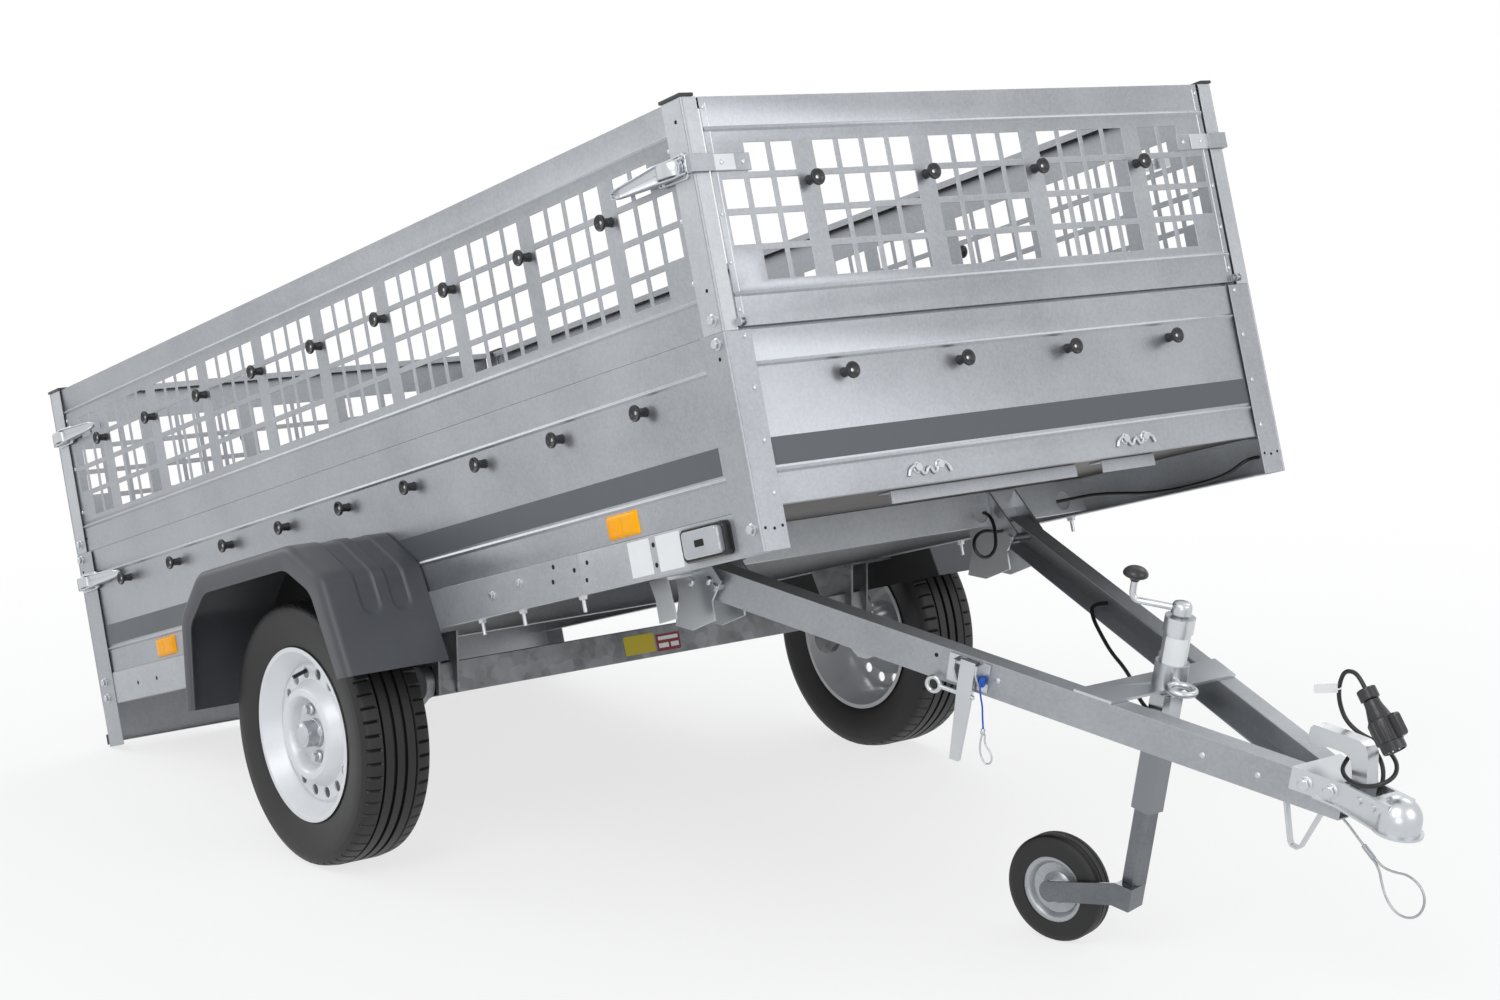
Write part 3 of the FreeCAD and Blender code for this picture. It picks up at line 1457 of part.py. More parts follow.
def drawbar_nodes():
    """Every node drawn in the drawbar frame."""
    beam = right_beam()
    rope, ferrule, loop = breakaway()
    return {
        "drawbar_beam_right": beam,
        "drawbar_beam_left": other_side(beam),
        "bridge_plate": joined([bridge_plate(), clamp()]),
        "coupling_body": coupling(),
        "coupling_handle": coupling_handle(),
        "tipping_latch": tipping_latch(),
        "lanyard": lanyard(),
        "lanyard_clip": lanyard_clip(),
        "cable_guide": cable_guide(),
        "electric_cable": electric_cable(),
        "electric_plug": plug(),
        "breakaway_cable": rope,
        "breakaway_ferrule": ferrule,
        "breakaway_loop": loop,
        "jockey_tube": jockey_tube(),
        "jockey_crank": crank(),
        "jockey_leg": jockey_leg(),
        "jockey_fork": fork(),
        "jockey_tyre": jockey_tyre(),
        "jockey_rim": jockey_rim(),
    }


def placements():
    """Placement of the box frame and of the drawbar frame on the floor."""
    tip = FreeCAD.Rotation(Y, -tip_angle)
    axle = tip.multVec(FreeCAD.Vector(axle_x, 0, -axle_drop))
    box_place = FreeCAD.Placement(FreeCAD.Vector(-axle.x, 0, tyre_radius - axle.z), tip)
    bar = FreeCAD.Placement(FreeCAD.Vector(hinge_x, 0, hinge_z), FreeCAD.Rotation(Y, drawbar_pitch))
    return box_place, box_place.multiply(bar)


def main():
    """Builds every node, centres the whole over the floor and writes the files."""
    box_place, bar_place = placements()
    nodes = {}
    for group, place in ((box_nodes(), box_place), (drawbar_nodes(), bar_place)):
        for name, shape in group.items():
            copy = shape.copy()
            copy.Placement = place.multiply(copy.Placement)
            nodes[name] = copy
    whole = [shape.optimalBoundingBox(False) for name, shape in nodes.items()
             if name in ("coupling_body", "rear_gate", "rear_gate_knobs", "toggle_levers")]
    middle = (max(box.XMax for box in whole) + min(box.XMin for box in whole)) / 2
    os.makedirs("parts", exist_ok=True)
    for name, shape in nodes.items():
        shape.translate(FreeCAD.Vector(-middle, 0, 0))
        shape.exportStep("parts/" + name + ".step")
    shift = FreeCAD.Vector(-middle, 0, 0)
    places = {
        "wheel_right": box_place.multVec(FreeCAD.Vector(axle_x, -wheel_y, -axle_drop)),
        "wheel_left": box_place.multVec(FreeCAD.Vector(axle_x, wheel_y, -axle_drop)),
        "tip_hinge": bar_place.multVec(ORIGIN),
        "front_pivot": box_place.multVec(FreeCAD.Vector(box_length + pivot_out, 0, pivot_height(upper_base))),
        "rear_pivot": box_place.multVec(FreeCAD.Vector(-pivot_out, 0, pivot_height(upper_base))),
        "tail_pivot": box_place.multVec(FreeCAD.Vector(-pivot_out, 0, pivot_height(rail_height + run_gap))),
        "jockey_slide": bar_place.multVec(FreeCAD.Vector(tube_x, 0, 0)),
        "jockey_foot": bar_place.multVec(FreeCAD.Vector(tube_x, 0, leg_low())),
        "jockey_axle": bar_place.multVec(FreeCAD.Rotation(Z, swivel_angle).multVec(
            FreeCAD.Vector(-fork_length, 0, 0)) + FreeCAD.Vector(tube_x, 0, fork_low())),
        "ball": bar_place.multVec(FreeCAD.Vector(head_x, 0, ball_depth / 2 - coupling_foot)),
        "floor": box_place.multVec(FreeCAD.Vector(box_length / 2, 0,
                                                  rail_height + seat_gap + floor_thickness)),
        "box_zero": box_place.multVec(ORIGIN),
    }
    for name, place in places.items():
        spot = place + shift
        print("place", name, round(spot.x, 3), round(spot.y, 3), round(spot.z, 3))


main()
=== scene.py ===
"""Looks of the tipping utility trailer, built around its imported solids."""
import json
import math

import bmesh
import bpy
import numpy as np
from bpy.props import FloatProperty, FloatVectorProperty, IntProperty, PointerProperty
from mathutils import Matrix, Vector

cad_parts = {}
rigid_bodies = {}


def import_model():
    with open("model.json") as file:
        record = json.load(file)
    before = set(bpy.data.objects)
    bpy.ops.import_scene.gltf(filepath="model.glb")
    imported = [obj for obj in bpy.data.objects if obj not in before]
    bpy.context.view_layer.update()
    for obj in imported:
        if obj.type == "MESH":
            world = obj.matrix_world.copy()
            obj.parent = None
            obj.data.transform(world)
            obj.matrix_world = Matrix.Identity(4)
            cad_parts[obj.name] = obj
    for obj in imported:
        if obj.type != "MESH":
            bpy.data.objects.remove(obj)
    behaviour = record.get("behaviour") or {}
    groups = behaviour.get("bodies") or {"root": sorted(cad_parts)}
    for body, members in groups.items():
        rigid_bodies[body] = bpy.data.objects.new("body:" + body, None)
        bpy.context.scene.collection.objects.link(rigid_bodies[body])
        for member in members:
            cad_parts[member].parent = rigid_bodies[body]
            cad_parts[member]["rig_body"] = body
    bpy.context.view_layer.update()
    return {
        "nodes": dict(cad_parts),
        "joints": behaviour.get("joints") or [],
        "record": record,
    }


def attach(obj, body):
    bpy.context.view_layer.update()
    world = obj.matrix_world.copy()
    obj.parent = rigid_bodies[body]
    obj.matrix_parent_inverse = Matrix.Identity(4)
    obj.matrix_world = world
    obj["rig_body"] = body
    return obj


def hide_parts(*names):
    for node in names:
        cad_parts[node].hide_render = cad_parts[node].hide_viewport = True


bl_info = {
    "name": "Tipping Utility Trailer",
    "version": (1, 0, 0),
    "blender": (4, 5, 0),
    "location": "View3D > Sidebar > Trailer",
    "description": "Dresses the trailer's solids with finishes and small trim",
    "category": "Object",
}

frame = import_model()
NODES = frame["nodes"]
JOINTS = {j["name"]: j for j in frame["joints"]}
MM = 0.001

# Places of the two frames: the box is tipped up, and the drawbar slopes down, both about the tip hinge
TIP_HINGE = np.array(JOINTS["tip_hinge"]["pos_m"])
BOX_TILT = math.radians(14.8)
BAR_SLOPE = math.radians(12.7)
HINGE_IN_BOX = np.array([2225.0, 0.0, -28.0])
BOX_AXES = np.array([[math.cos(BOX_TILT), 0, -math.sin(BOX_TILT)], [0, 1, 0],
                     [math.sin(BOX_TILT), 0, math.cos(BOX_TILT)]])
BAR_AXES = np.array([[math.cos(BAR_SLOPE), 0, math.sin(BAR_SLOPE)], [0, 1, 0],
                     [-math.sin(BAR_SLOPE), 0, math.cos(BAR_SLOPE)]])
MIRROR = np.diag([1, -1, 1])
PLAIN = np.eye(3)

# Sizes of the part that the trim follows, in millimetres of the box frame
BOX_LENGTH, BOX_TOP, SEAM = 2700, 779, 376
SIDE_SKIN, FRONT_SKIN, POST_SIDE, POST_FRONT, GATE_FACE = 650, 2695, 655, 2700, 2698
RAIL_REAR_FACE, RAIL_FRONT_FACE = 652.7, 650.7
GROUP_PITCH = 271.3
UPPER_KNOB_Z, LOWER_KNOB_Z = 626, 286
LATCH_END, LATCH_Z, LOW_LATCH_Z, LATCH_HIGH = 2689, 648, 288, 31

# Sizes of the drawbar in its own frame
BEAM_ANGLE = math.radians(17.33)
HEAD_X = 1280
TUBE_X, TUBE_TOP = 762, 165.3
PLUG_SLOPE = math.radians(43.5)
PLUG_START = np.array([1167.0, 0.0, 190.0])


# Shapes
def box_place(points):
    """Box frame millimetres to the row frame: turn by the tilt, then move to the tip hinge."""
    return (np.asarray(points, float) - HINGE_IN_BOX) @ BOX_AXES.T * MM + TIP_HINGE


def bar_place(points):
    """Drawbar frame millimetres to the row frame: turn by the slope, then move to the tip hinge."""
    return np.asarray(points, float) @ BAR_AXES.T * MM + TIP_HINGE


def as_placed(points):
    """Points that are in the row frame already."""
    return points


def within(place, origin, rows=PLAIN):
    """Place of a frame inside another: outer = local @ rows + origin, where each row is a local axis."""
    return lambda points: place(np.asarray(points, float) @ rows + origin)


def turn_z(angle):
    """Local axes turned about the upright one, one a row."""
    c, s = math.cos(angle), math.sin(angle)
    return np.array([[c, s, 0], [-s, c, 0], [0, 0, 1]])


def beam_half(x):
    """Distance of the beams' outer face from the middle at x of the drawbar frame."""
    return (HEAD_X - x) * math.tan(BEAM_ANGLE)


def on_beam(x, side=-1):
    """Place of a frame on a beam's outer face: x forward along it, -y outwards, z up."""
    rows = turn_z(BEAM_ANGLE) if side < 0 else turn_z(BEAM_ANGLE) @ MIRROR
    return within(bar_place, [x, side * beam_half(x), 0], rows)


def axes_of(direction):
    """Three unit vectors, the first along the direction and the others square to it."""
    first = np.asarray(direction, float) / np.linalg.norm(direction)
    aside = np.array([0, 0, 1.0]) if abs(first[2]) < 0.9 else np.array([1.0, 0, 0])
    second = np.cross(aside, first)
    second /= np.linalg.norm(second)
    return np.array([first, second, np.cross(first, second)])


def grid(points, closed_u=False, closed_v=False):
    """Vertices and four-sided faces of a grid of points P(u, v), whose rows or columns may close."""
    rows, columns = points.shape[:2]
    u = np.arange(rows if closed_u else rows - 1)
    v = np.arange(columns if closed_v else columns - 1)
    u, v = (a.ravel() for a in np.meshgrid(u, v, indexing="ij"))
    up, right = (u + 1) % rows, (v + 1) % columns
    faces = np.stack([u * columns + v, up * columns + v, up * columns + right, u * columns + right], 1)
    return points.reshape(-1, 3), faces.tolist()


def softened(points, times=2):
    """Corner cutting that keeps the ends: each run gets points at a quarter and at three quarters of it."""
    points = np.asarray(points, float)
    for _ in range(times):
        a, b = points[:-1], points[1:]
        cut = np.stack([0.75 * a + 0.25 * b, 0.25 * a + 0.75 * b], 1).reshape(-1, points.shape[1])
        points = np.concatenate([points[:1], cut, points[-1:]])
    return points


def bent(points, radius, steps=5):
    """Path with curved corners: B(t) = (1 - t)^2 A + 2 t (1 - t) C + t^2 D, from A before C to D after it."""
    points = np.asarray(points, float)
    a, c, d = points[:-2], points[1:-1], points[2:]
    back, ahead = a - c, d - c
    back_run = np.linalg.norm(back, axis=1, keepdims=True)
    ahead_run = np.linalg.norm(ahead, axis=1, keepdims=True)
    trim = np.minimum(radius, 0.45 * np.minimum(back_run, ahead_run))
    first, last = c + back / back_run * trim, c + ahead / ahead_run * trim
    t = np.linspace(0, 1, steps)[None, :, None]
    curve = (1 - t) ** 2 * first[:, None] + 2 * t * (1 - t) * c[:, None] + t ** 2 * last[:, None]
    return np.concatenate([points[:1], curve.reshape(-1, points.shape[1]), points[-1:]])


def rounded(outline, radius, steps=5):
    """Closed outline with curved corners."""
    outline = np.asarray(outline, float)
    return bent(np.concatenate([outline[-1:], outline, outline[:1]]), radius, steps)[1:-1]


def oblong(x0, x1, z0, z1, radius, steps=5):
    """Rectangle with curved corners."""
    return rounded([(x0, z0), (x1, z0), (x1, z1), (x0, z1)], radius, steps)


def revolved(profile, centre, direction, turns=24, closed=False):
    """Profile of (distance s, radius r) turned round the axis a: P = o + s a + r (b cos t + c sin t)."""
    a, b, c = axes_of(direction)
    s, r = np.asarray(profile, float).T
    t = np.linspace(0, math.tau, turns, endpoint=False)
    circle = np.cos(t)[:, None] * b + np.sin(t)[:, None] * c
    points = np.asarray(centre, float) + s[None, :, None] * a + r[None, :, None] * circle[:, None, :]
    return grid(points, closed_u=True, closed_v=closed)


def ring(centre, direction, radius, wire, turns=32, sides=8):
    """Torus: a circle of the wire's radius turned round the axis at the ring's radius."""
    t = np.linspace(0, math.tau, sides, endpoint=False)
    circle = np.stack([wire * np.cos(t), radius + wire * np.sin(t)], 1)
    return revolved(circle, centre, direction, turns, closed=True)


def lofted(rings):
    """Skin over rings of points in their order, closed round each ring, with both ends capped."""
    points, faces = grid(rings, closed_v=True)
    count, last = rings.shape[1], (rings.shape[0] - 1) * rings.shape[1]
    return points, faces + [list(range(count)), list(range(last, last + count))]


def shrunk(outline, by):
    """Outline drawn in towards its middle by about the same distance on each side."""
    outline = np.asarray(outline, float)
    middle = (outline.min(0) + outline.max(0)) / 2
    return middle + (outline - middle) * (1 - by / ((outline.max(0) - outline.min(0)) / 2))


def levels(outline, steps, axis=1):
    """Outlines stacked along an axis: each step gives a level and how far the outline is drawn in there."""
    return lofted(np.array([np.insert(shrunk(outline, by), axis, level, axis=1) for level, by in steps]))


def plate(outline, low, high, axis=1, edge=0.0):
    """Flat piece of an outline between two levels along an axis, its faces drawn in by the edge."""
    step = math.copysign(edge, high - low)
    steps = [(low, edge), (low + step, 0), (high - step, 0), (high, edge)] if edge else [(low, 0), (high, 0)]
    return levels(outline, steps, axis)


def tube(path, radius, aside=(0, 1, 0), turns=10):
    """Round bar along a path: rings of R (b cos t + c sin t), with b and c square to the path's direction."""
    path = np.asarray(path, float)
    ahead = np.gradient(path, axis=0)
    ahead /= np.linalg.norm(ahead, axis=1, keepdims=True)
    b = np.cross(ahead, np.asarray(aside, float))
    b /= np.linalg.norm(b, axis=1, keepdims=True)
    c = np.cross(ahead, b)
    t = np.linspace(0, math.tau, turns, endpoint=False)[None, :, None]
    return lofted(path[:, None] + radius * (np.cos(t) * b[:, None] + np.sin(t) * c[:, None]))


def joined(shapes):
    """One set of vertices and faces from several."""
    points, faces, start = [], [], 0
    for p, f in shapes:
        points.append(np.asarray(p, float))
        faces += [[i + start for i in face] for face in f]
        start += len(p)
    return np.concatenate(points), faces


def turned_over(shape):
    """The shape on the left side instead of the right."""
    points, faces = shape
    return points @ MIRROR, faces


def mirrored(shape):
    """The shape and its copy on the other side of the middle."""
    return joined([shape, turned_over(shape)])


def rear_mirrored(shape):
    """The shape turned over to the rear end of the box."""
    points, faces = shape
    return points * [-1, 1, 1] + [BOX_LENGTH, 0, 0], faces


def unturned(shape):
    """The shape where it is."""
    return shape


# Small fasteners, each as a profile of distance out of the surface and radius, in millimetres
RIVET = [(0, 0), (0, 4.6), (1, 4.4), (1.9, 3), (2.2, 0)]
WASHER_TOP = 2
WASHER = [(0, 0), (0, 11), (1.2, 11), (WASHER_TOP, 9.6), (WASHER_TOP, 0)]
HEXAGON = [(0, 0), (0, 8.6), (5.5, 8.6), (6.6, 7.2), (6.6, 0)]
# HOLE is a thin dark disc on the surface: painted shade for a hole
HOLE = [(0, 0), (0, 3.6), (0.25, 3.6), (0.25, 0)]
DOME = [(0, 0), (0, 7), (1.5, 6.8), (3.2, 5), (4, 2.4), (4.1, 0)]


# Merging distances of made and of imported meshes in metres, and the angles and width that shading and bevels
# turn on
MERGE, MERGE_SOLID = 0.00001, 0.000005
FLAT_WITHIN, BEVEL_FROM = math.radians(0.6), math.radians(30)
WIDE_BEVEL = 2 * MM
SOLID_SMOOTH = 35
FINISH = {}


def heads(profile, places, direction, scale=1.0, turns=12):
    """The same turned head at several places."""
    profile = np.asarray(profile, float) * scale
    return joined([revolved(profile, place, direction, turns) for place in places])


def bolts(places, direction, scale=1.0):
    """Hexagon heads on washers."""
    lifted = np.asarray(places, float) + np.asarray(direction, float) * WASHER_TOP * scale
    return joined([heads(WASHER, places, direction, scale, 16), heads(HEXAGON, lifted, direction, scale, 6)])


def piece(name, shape, finish, body, place=box_place, smooth=40, replaces=()):
    """Mesh object at the origin from vertices and faces, merged, turned outwards, finished and riding."""
    points, faces = shape
    mesh = bpy.data.meshes.new(name)
    mesh.from_pydata(place(points).tolist(), [], faces)
    work = bmesh.new()
    work.from_mesh(mesh)
    bmesh.ops.remove_doubles(work, verts=work.verts, dist=MERGE)
    bmesh.ops.recalc_face_normals(work, faces=work.faces)
    work.to_mesh(mesh)
    work.free()
    obj = bpy.data.objects.new(name, mesh)
    bpy.context.scene.collection.objects.link(obj)
    return finished(obj, finish, body, smooth, replaces)


def finished(obj, finish, body, smooth, replaces):
    """Shading by angle, the material, the body and the slot of a piece."""
    obj.data.shade_smooth()
    obj.data.set_sharp_from_angle(angle=math.radians(smooth))
    obj.data.materials.clear()
    obj.data.materials.append(FINISH[finish])
    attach(obj, body)
    if replaces:
        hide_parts(*replaces)
    return obj


def dressed(node, finish, bevel):
    """Copy of a solid's mesh with its triangles merged into flat faces, so that it shades and bevels well."""
    source = NODES[node]
    mesh = source.data.copy()
    work = bmesh.new()
    work.from_mesh(mesh)
    bmesh.ops.remove_doubles(work, verts=work.verts, dist=MERGE_SOLID)
    bmesh.ops.dissolve_limit(work, angle_limit=FLAT_WITHIN, verts=work.verts, edges=work.edges)
    work.to_mesh(mesh)
    work.free()
    mesh.name = node + "_look"
    obj = bpy.data.objects.new(node + "_look", mesh)
    bpy.context.scene.collection.objects.link(obj)
    edge = obj.modifiers.new("edge", "BEVEL")
    edge.width, edge.segments = bevel, 2 if bevel < WIDE_BEVEL else 3
    edge.limit_method, edge.angle_limit, edge.harden_normals = "ANGLE", BEVEL_FROM, True
    return finished(obj, finish, source["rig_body"], SOLID_SMOOTH, (node,))


# Finishes
def linear(value):
    """sRGB hex text to linear colour with alpha; a colour property is linear already."""
    if not isinstance(value, str):
        return list(value)
    parts = [int(value[i:i + 2], 16) / 255 for i in (1, 3, 5)]
    return [c / 12.92 if c <= 0.04045 else ((c + 0.055) / 1.055) ** 2.4 for c in parts] + [1.0]


def add(tree, kind, settings=None, inputs=None):
    """A node with its settings and its inputs, each a value or another node's output."""
    node = tree.nodes.new(kind)
    for key, value in (settings or {}).items():
        setattr(node, key, value)
    for key, value in (inputs or {}).items():
        if isinstance(value, bpy.types.NodeSocket):
            tree.links.new(value, node.inputs[key])
        else:
            node.inputs[key].default_value = value
    return node


def shader(name, colour, metallic=0.0, roughness=0.5, **sockets):
    """Material with one principled shader, and its tree and shader."""
    made = bpy.data.materials.new(name)
    made.use_nodes = True
    tree = made.node_tree
    tree.nodes.clear()
    core = add(tree, "ShaderNodeBsdfPrincipled", None,
               {"Base Color": linear(colour), "Metallic": metallic, "Roughness": roughness, **sockets})
    add(tree, "ShaderNodeOutputMaterial", None, {"Surface": core.outputs[0]})
    return made, tree, core


def shaded(tree, core, share, dark, light, rough, spread):
    """Colour between two tones, and roughness about a middle, both by a pattern's share."""
    tones = add(tree, "ShaderNodeMix", {"data_type": "RGBA"}, {"Factor": share})
    tones.inputs[6].default_value = linear(dark)
    tones.inputs[7].default_value = linear(light)
    tree.links.new(tones.outputs[2], core.inputs["Base Color"])
    uneven = add(tree, "ShaderNodeMapRange", None,
                 {"Value": share, "To Min": rough - spread, "To Max": rough + spread})
    tree.links.new(uneven.outputs[0], core.inputs["Roughness"])


# Patterns: soft noise, and cells with hard borders. Clouds of tone are 25 grains wide
CLOUDY, CELLS = "ShaderNodeTexNoise", "ShaderNodeTexVoronoi"
GRAINS_A_CLOUD = 25
# How far roughness strays from its middle on galvanised and on moulded surfaces
ZINC_SPREAD, GRAIN_SPREAD = 0.04, 0.05


def galvanised(name, light, dark, metallic, rough, spangle_mm, cloud_mm, crystals, relief_mm=0.0):
    """Hot dip galvanised steel: zinc crystals that catch the light in their own way, under clouds of tone."""
    made, tree, core = shader(name, light, metallic, rough)
    place = add(tree, "ShaderNodeTexCoord").outputs["Object"]
    cells = add(tree, CELLS, {"feature": "F1"}, {"Vector": place, "Scale": 1 / (spangle_mm * MM)})
    clouds = add(tree, CLOUDY, None,
                 {"Vector": place, "Scale": 1 / (cloud_mm * MM), "Detail": 4.0, "Roughness": 0.55})
    grey = add(tree, "ShaderNodeSeparateColor", None, {"Color": cells.outputs["Color"]})
    share = add(tree, "ShaderNodeMath", {"operation": "MULTIPLY_ADD"},
                {0: grey.outputs["Red"], 1: crystals, 2: clouds.outputs["Fac"]})
    spread = add(tree, "ShaderNodeMapRange", None,
                 {"Value": share.outputs[0], "From Min": 0.35, "From Max": 0.65 + crystals})
    shaded(tree, core, spread.outputs[0], dark, light, rough, ZINC_SPREAD)
    if relief_mm:
        relief = add(tree, "ShaderNodeBump", None,
                     {"Height": clouds.outputs["Fac"], "Strength": 0.5, "Distance": relief_mm * MM})
        tree.links.new(relief.outputs[0], core.inputs["Normal"])
    return made


def grained(name, light, dark, rough, grain_mm, relief_mm, metallic=0.0, pattern=CLOUDY, **sockets):
    """Moulded or painted surface: soft clouds of tone, and a fine grain as relief."""
    made, tree, core = shader(name, light, metallic, rough, **sockets)
    place = add(tree, "ShaderNodeTexCoord").outputs["Object"]
    clouds = add(tree, CLOUDY, None,
                 {"Vector": place, "Scale": 1 / (grain_mm * MM * GRAINS_A_CLOUD), "Detail": 3.0})
    shaded(tree, core, clouds.outputs["Fac"], dark, light, rough, GRAIN_SPREAD)
    grain = add(tree, pattern, None, {"Vector": place, "Scale": 1 / (grain_mm * MM)})
    relief = add(tree, "ShaderNodeBump", None,
                 {"Height": grain.outputs[0], "Strength": 0.6, "Distance": relief_mm * MM})
    tree.links.new(relief.outputs[0], core.inputs["Normal"])
    return made


def colour(name, description, value):
    """Colour property from sRGB hex text."""
    return FloatVectorProperty(name=name, description=description, default=linear(value), size=4,
                               min=0, max=1, subtype="COLOR")


def length(name, description, millimetres):
    """Length property, in metres as Blender keeps them."""
    return FloatProperty(name=name, description=description, default=millimetres * MM, min=0,
                         subtype="DISTANCE", unit="LENGTH")


class TrailerFinishes(bpy.types.PropertyGroup):
    """Colours of the trailer's finishes."""
    zinc_light: colour("Zinc light", "Bright crystals of galvanised sheet", "#acafb4")
    zinc_dark: colour("Zinc dark", "Dark crystals of galvanised sheet", "#999ca1")
    rubber: colour("Rubber", "Tyre rubber", "#0d0d0e")
    plastic: colour("Plastic", "Black moulded plastic", "#1c1c1e")
    guard: colour("Guard", "Grained plastic of the mudguards", "#4a4c51")
    stripe: colour("Stripe", "Grey stripe on the walls", "#54585d")
    rim: colour("Rim", "Silver paint of the wheels", "#e6e8ea")
    amber: colour("Amber", "Amber lenses", "#ffbc00")


class TrailerSizes(bpy.types.PropertyGroup):
    """Sizes of the trim that a user would change."""
    edge: length("Sheet edge", "Bevel of sheet edges", 0.8)
    beam_edge: length("Beam edge", "Rounding of the drawbar beams", 1.4)
    casting_edge: length("Pressed edge", "Bevel of thick pressings", 2.2)
    tread_blocks: IntProperty(name="Tread blocks", description="Blocks round a road tyre", default=60, min=12)
    groove_depth: length("Groove depth", "Depth of the tread grooves", 7)
    stripe_low: length("Stripe foot", "Lower edge of the wall stripe, above the rails' foot", 142)
    stripe_high: length("Stripe top", "Upper edge of the wall stripe, above the rails' foot", 190)


# The jockey tube's darker plate below, painted shade of the drawbar over it, and its bright plate above meet
# between these distances from the clamp's level, in metres
SHADE_PAINTED_TO, BRIGHT_FROM = -0.08, 0.03


class TRAILER_OT_finishes(bpy.types.Operator):
    """Make the materials"""
    bl_idname = "trailer.finishes"
    bl_label = "Finishes"

    def execute(self, context):
        look = context.scene.trailer_finishes
        # Galvanised sheet: even light grey with faint crystals and a soft sheen
        FINISH["wall_zinc"] = galvanised("galvanised_sheet", look.zinc_light, look.zinc_dark, metallic=0.82,
                                         rough=0.35, spangle_mm=5, cloud_mm=260, crystals=0.24)
        # Galvanised profiles: the same zinc, a little duller after bending
        FINISH["frame_zinc"] = galvanised("galvanised_profile", "#b9bcc0", "#a4a7ab", metallic=0.62,
                                          rough=0.4, spangle_mm=5, cloud_mm=200, crystals=0.2)
        # Upper posts: newer and brighter zinc than the walls
        FINISH["post_zinc"] = galvanised("galvanised_post", "#c2c5c9", "#b0b3b7", metallic=0.7, rough=0.36,
                                         spangle_mm=5, cloud_mm=200, crystals=0.2)
        # Drawbar channels: zinc that has gone greyer than the posts
        FINISH["beam_zinc"] = galvanised("galvanised_channel", "#acafb3", "#989b9f", metallic=0.62,
                                         rough=0.4, spangle_mm=5, cloud_mm=200, crystals=0.2)
        # Hot dipped tube: dark cloudy zinc with drawn patches
        FINISH["dipped_zinc"] = galvanised("dipped_zinc", "#96989b", "#606265", metallic=0.75, rough=0.48,
                                           spangle_mm=24, cloud_mm=90, crystals=0.2, relief_mm=0.2)
        # Bright zinc plating: smooth and mirror like on pressings
        FINISH["bright_zinc"] = grained("bright_zinc_plate", "#d0d3d6", "#bbbec2", metallic=0.94,
                                        rough=0.31, grain_mm=5, relief_mm=0.02)
        # Zinc plate of the jockey wheel's leg and fork, painted darker as the shade they stand in under the
        # drawbar
        FINISH["shaded_leg_zinc"] = galvanised("leg_zinc_painted_shade", "#7b7e82", "#696c70", metallic=0.9, rough=0.28,
                                        spangle_mm=6, cloud_mm=120, crystals=0.12)
        # Jockey tube: polished above the clamp, darker below it as painted shade where the drawbar shades the
        # tube
        FINISH["tube_zinc"] = self.zinc_with_painted_shade(bar_place([TUBE_X, 0, 0])[2])
        # Silver wheel paint: satin with very fine flakes
        FINISH["rim_paint"] = grained("silver_wheel_paint", look.rim, "#d9dbde", metallic=0.15, rough=0.36,
                                      grain_mm=3, relief_mm=0.02)
        # Vulcanised rubber: near black, dull, with a faint bloom
        FINISH["rubber_tyre"] = grained("vulcanised_rubber", "#161618", look.rubber, rough=0.5,
                                        grain_mm=2.5, relief_mm=0.12)
        FINISH["solid_rubber"] = grained("solid_rubber", "#161618", look.rubber, rough=0.5, grain_mm=2,
                                         relief_mm=0.08)
        # Moulded nylon: black with a soft gloss
        FINISH["knob_plastic"] = grained("moulded_nylon", "#333336", look.plastic, rough=0.3, grain_mm=1.2,
                                         relief_mm=0.04)
        # Polypropylene of the guards: dark grey, leather like grain
        FINISH["guard_plastic"] = grained("grained_polypropylene", look.guard, "#404246", rough=0.46,
                                          grain_mm=1.8, relief_mm=0.12)
        # Painted shade: a near black sheet inside the guards, where their inside stays in shade and shows
        # almost black
        FINISH["guard_lining"] = grained("ribbed_lining", "#18181a", "#101011", rough=0.7, grain_mm=4,
                                         relief_mm=0.2)
        # Film faced plywood: dark brown, its own colour darkened further as painted shade of the box's
        # underside, with the press mesh as a fine relief
        FINISH["plywood"] = grained("film_faced_plywood", "#37302a", "#2b2521", rough=0.45, grain_mm=4,
                                    relief_mm=0.15, pattern=CELLS)
        # Cable sheath: black soft vinyl
        FINISH["cable_sheath"] = grained("vinyl_sheath", "#1e1e20", "#161618", rough=0.38, grain_mm=1.5,
                                         relief_mm=0.03)
        # Wire rope: bright strands, drawn coarser than real so that they show
        FINISH["steel_rope"] = grained("wire_rope", "#c6c9cc", "#8f9295", metallic=0.85, rough=0.36,
                                       grain_mm=1.4, relief_mm=0.3, pattern=CELLS)
        # Crimped sleeve: dull pressed aluminium
        FINISH["dark_ferrule"] = grained("crimped_sleeve", "#b4b7ba", "#8d9093", metallic=0.85, rough=0.4,
                                         grain_mm=2, relief_mm=0.05)
        # Braided cord: bright blue with crossing strands
        FINISH["blue_cord"] = grained("braided_cord", "#1f63d0", "#123f96", rough=0.75, grain_mm=1.0,
                                      relief_mm=0.3, pattern=CELLS)
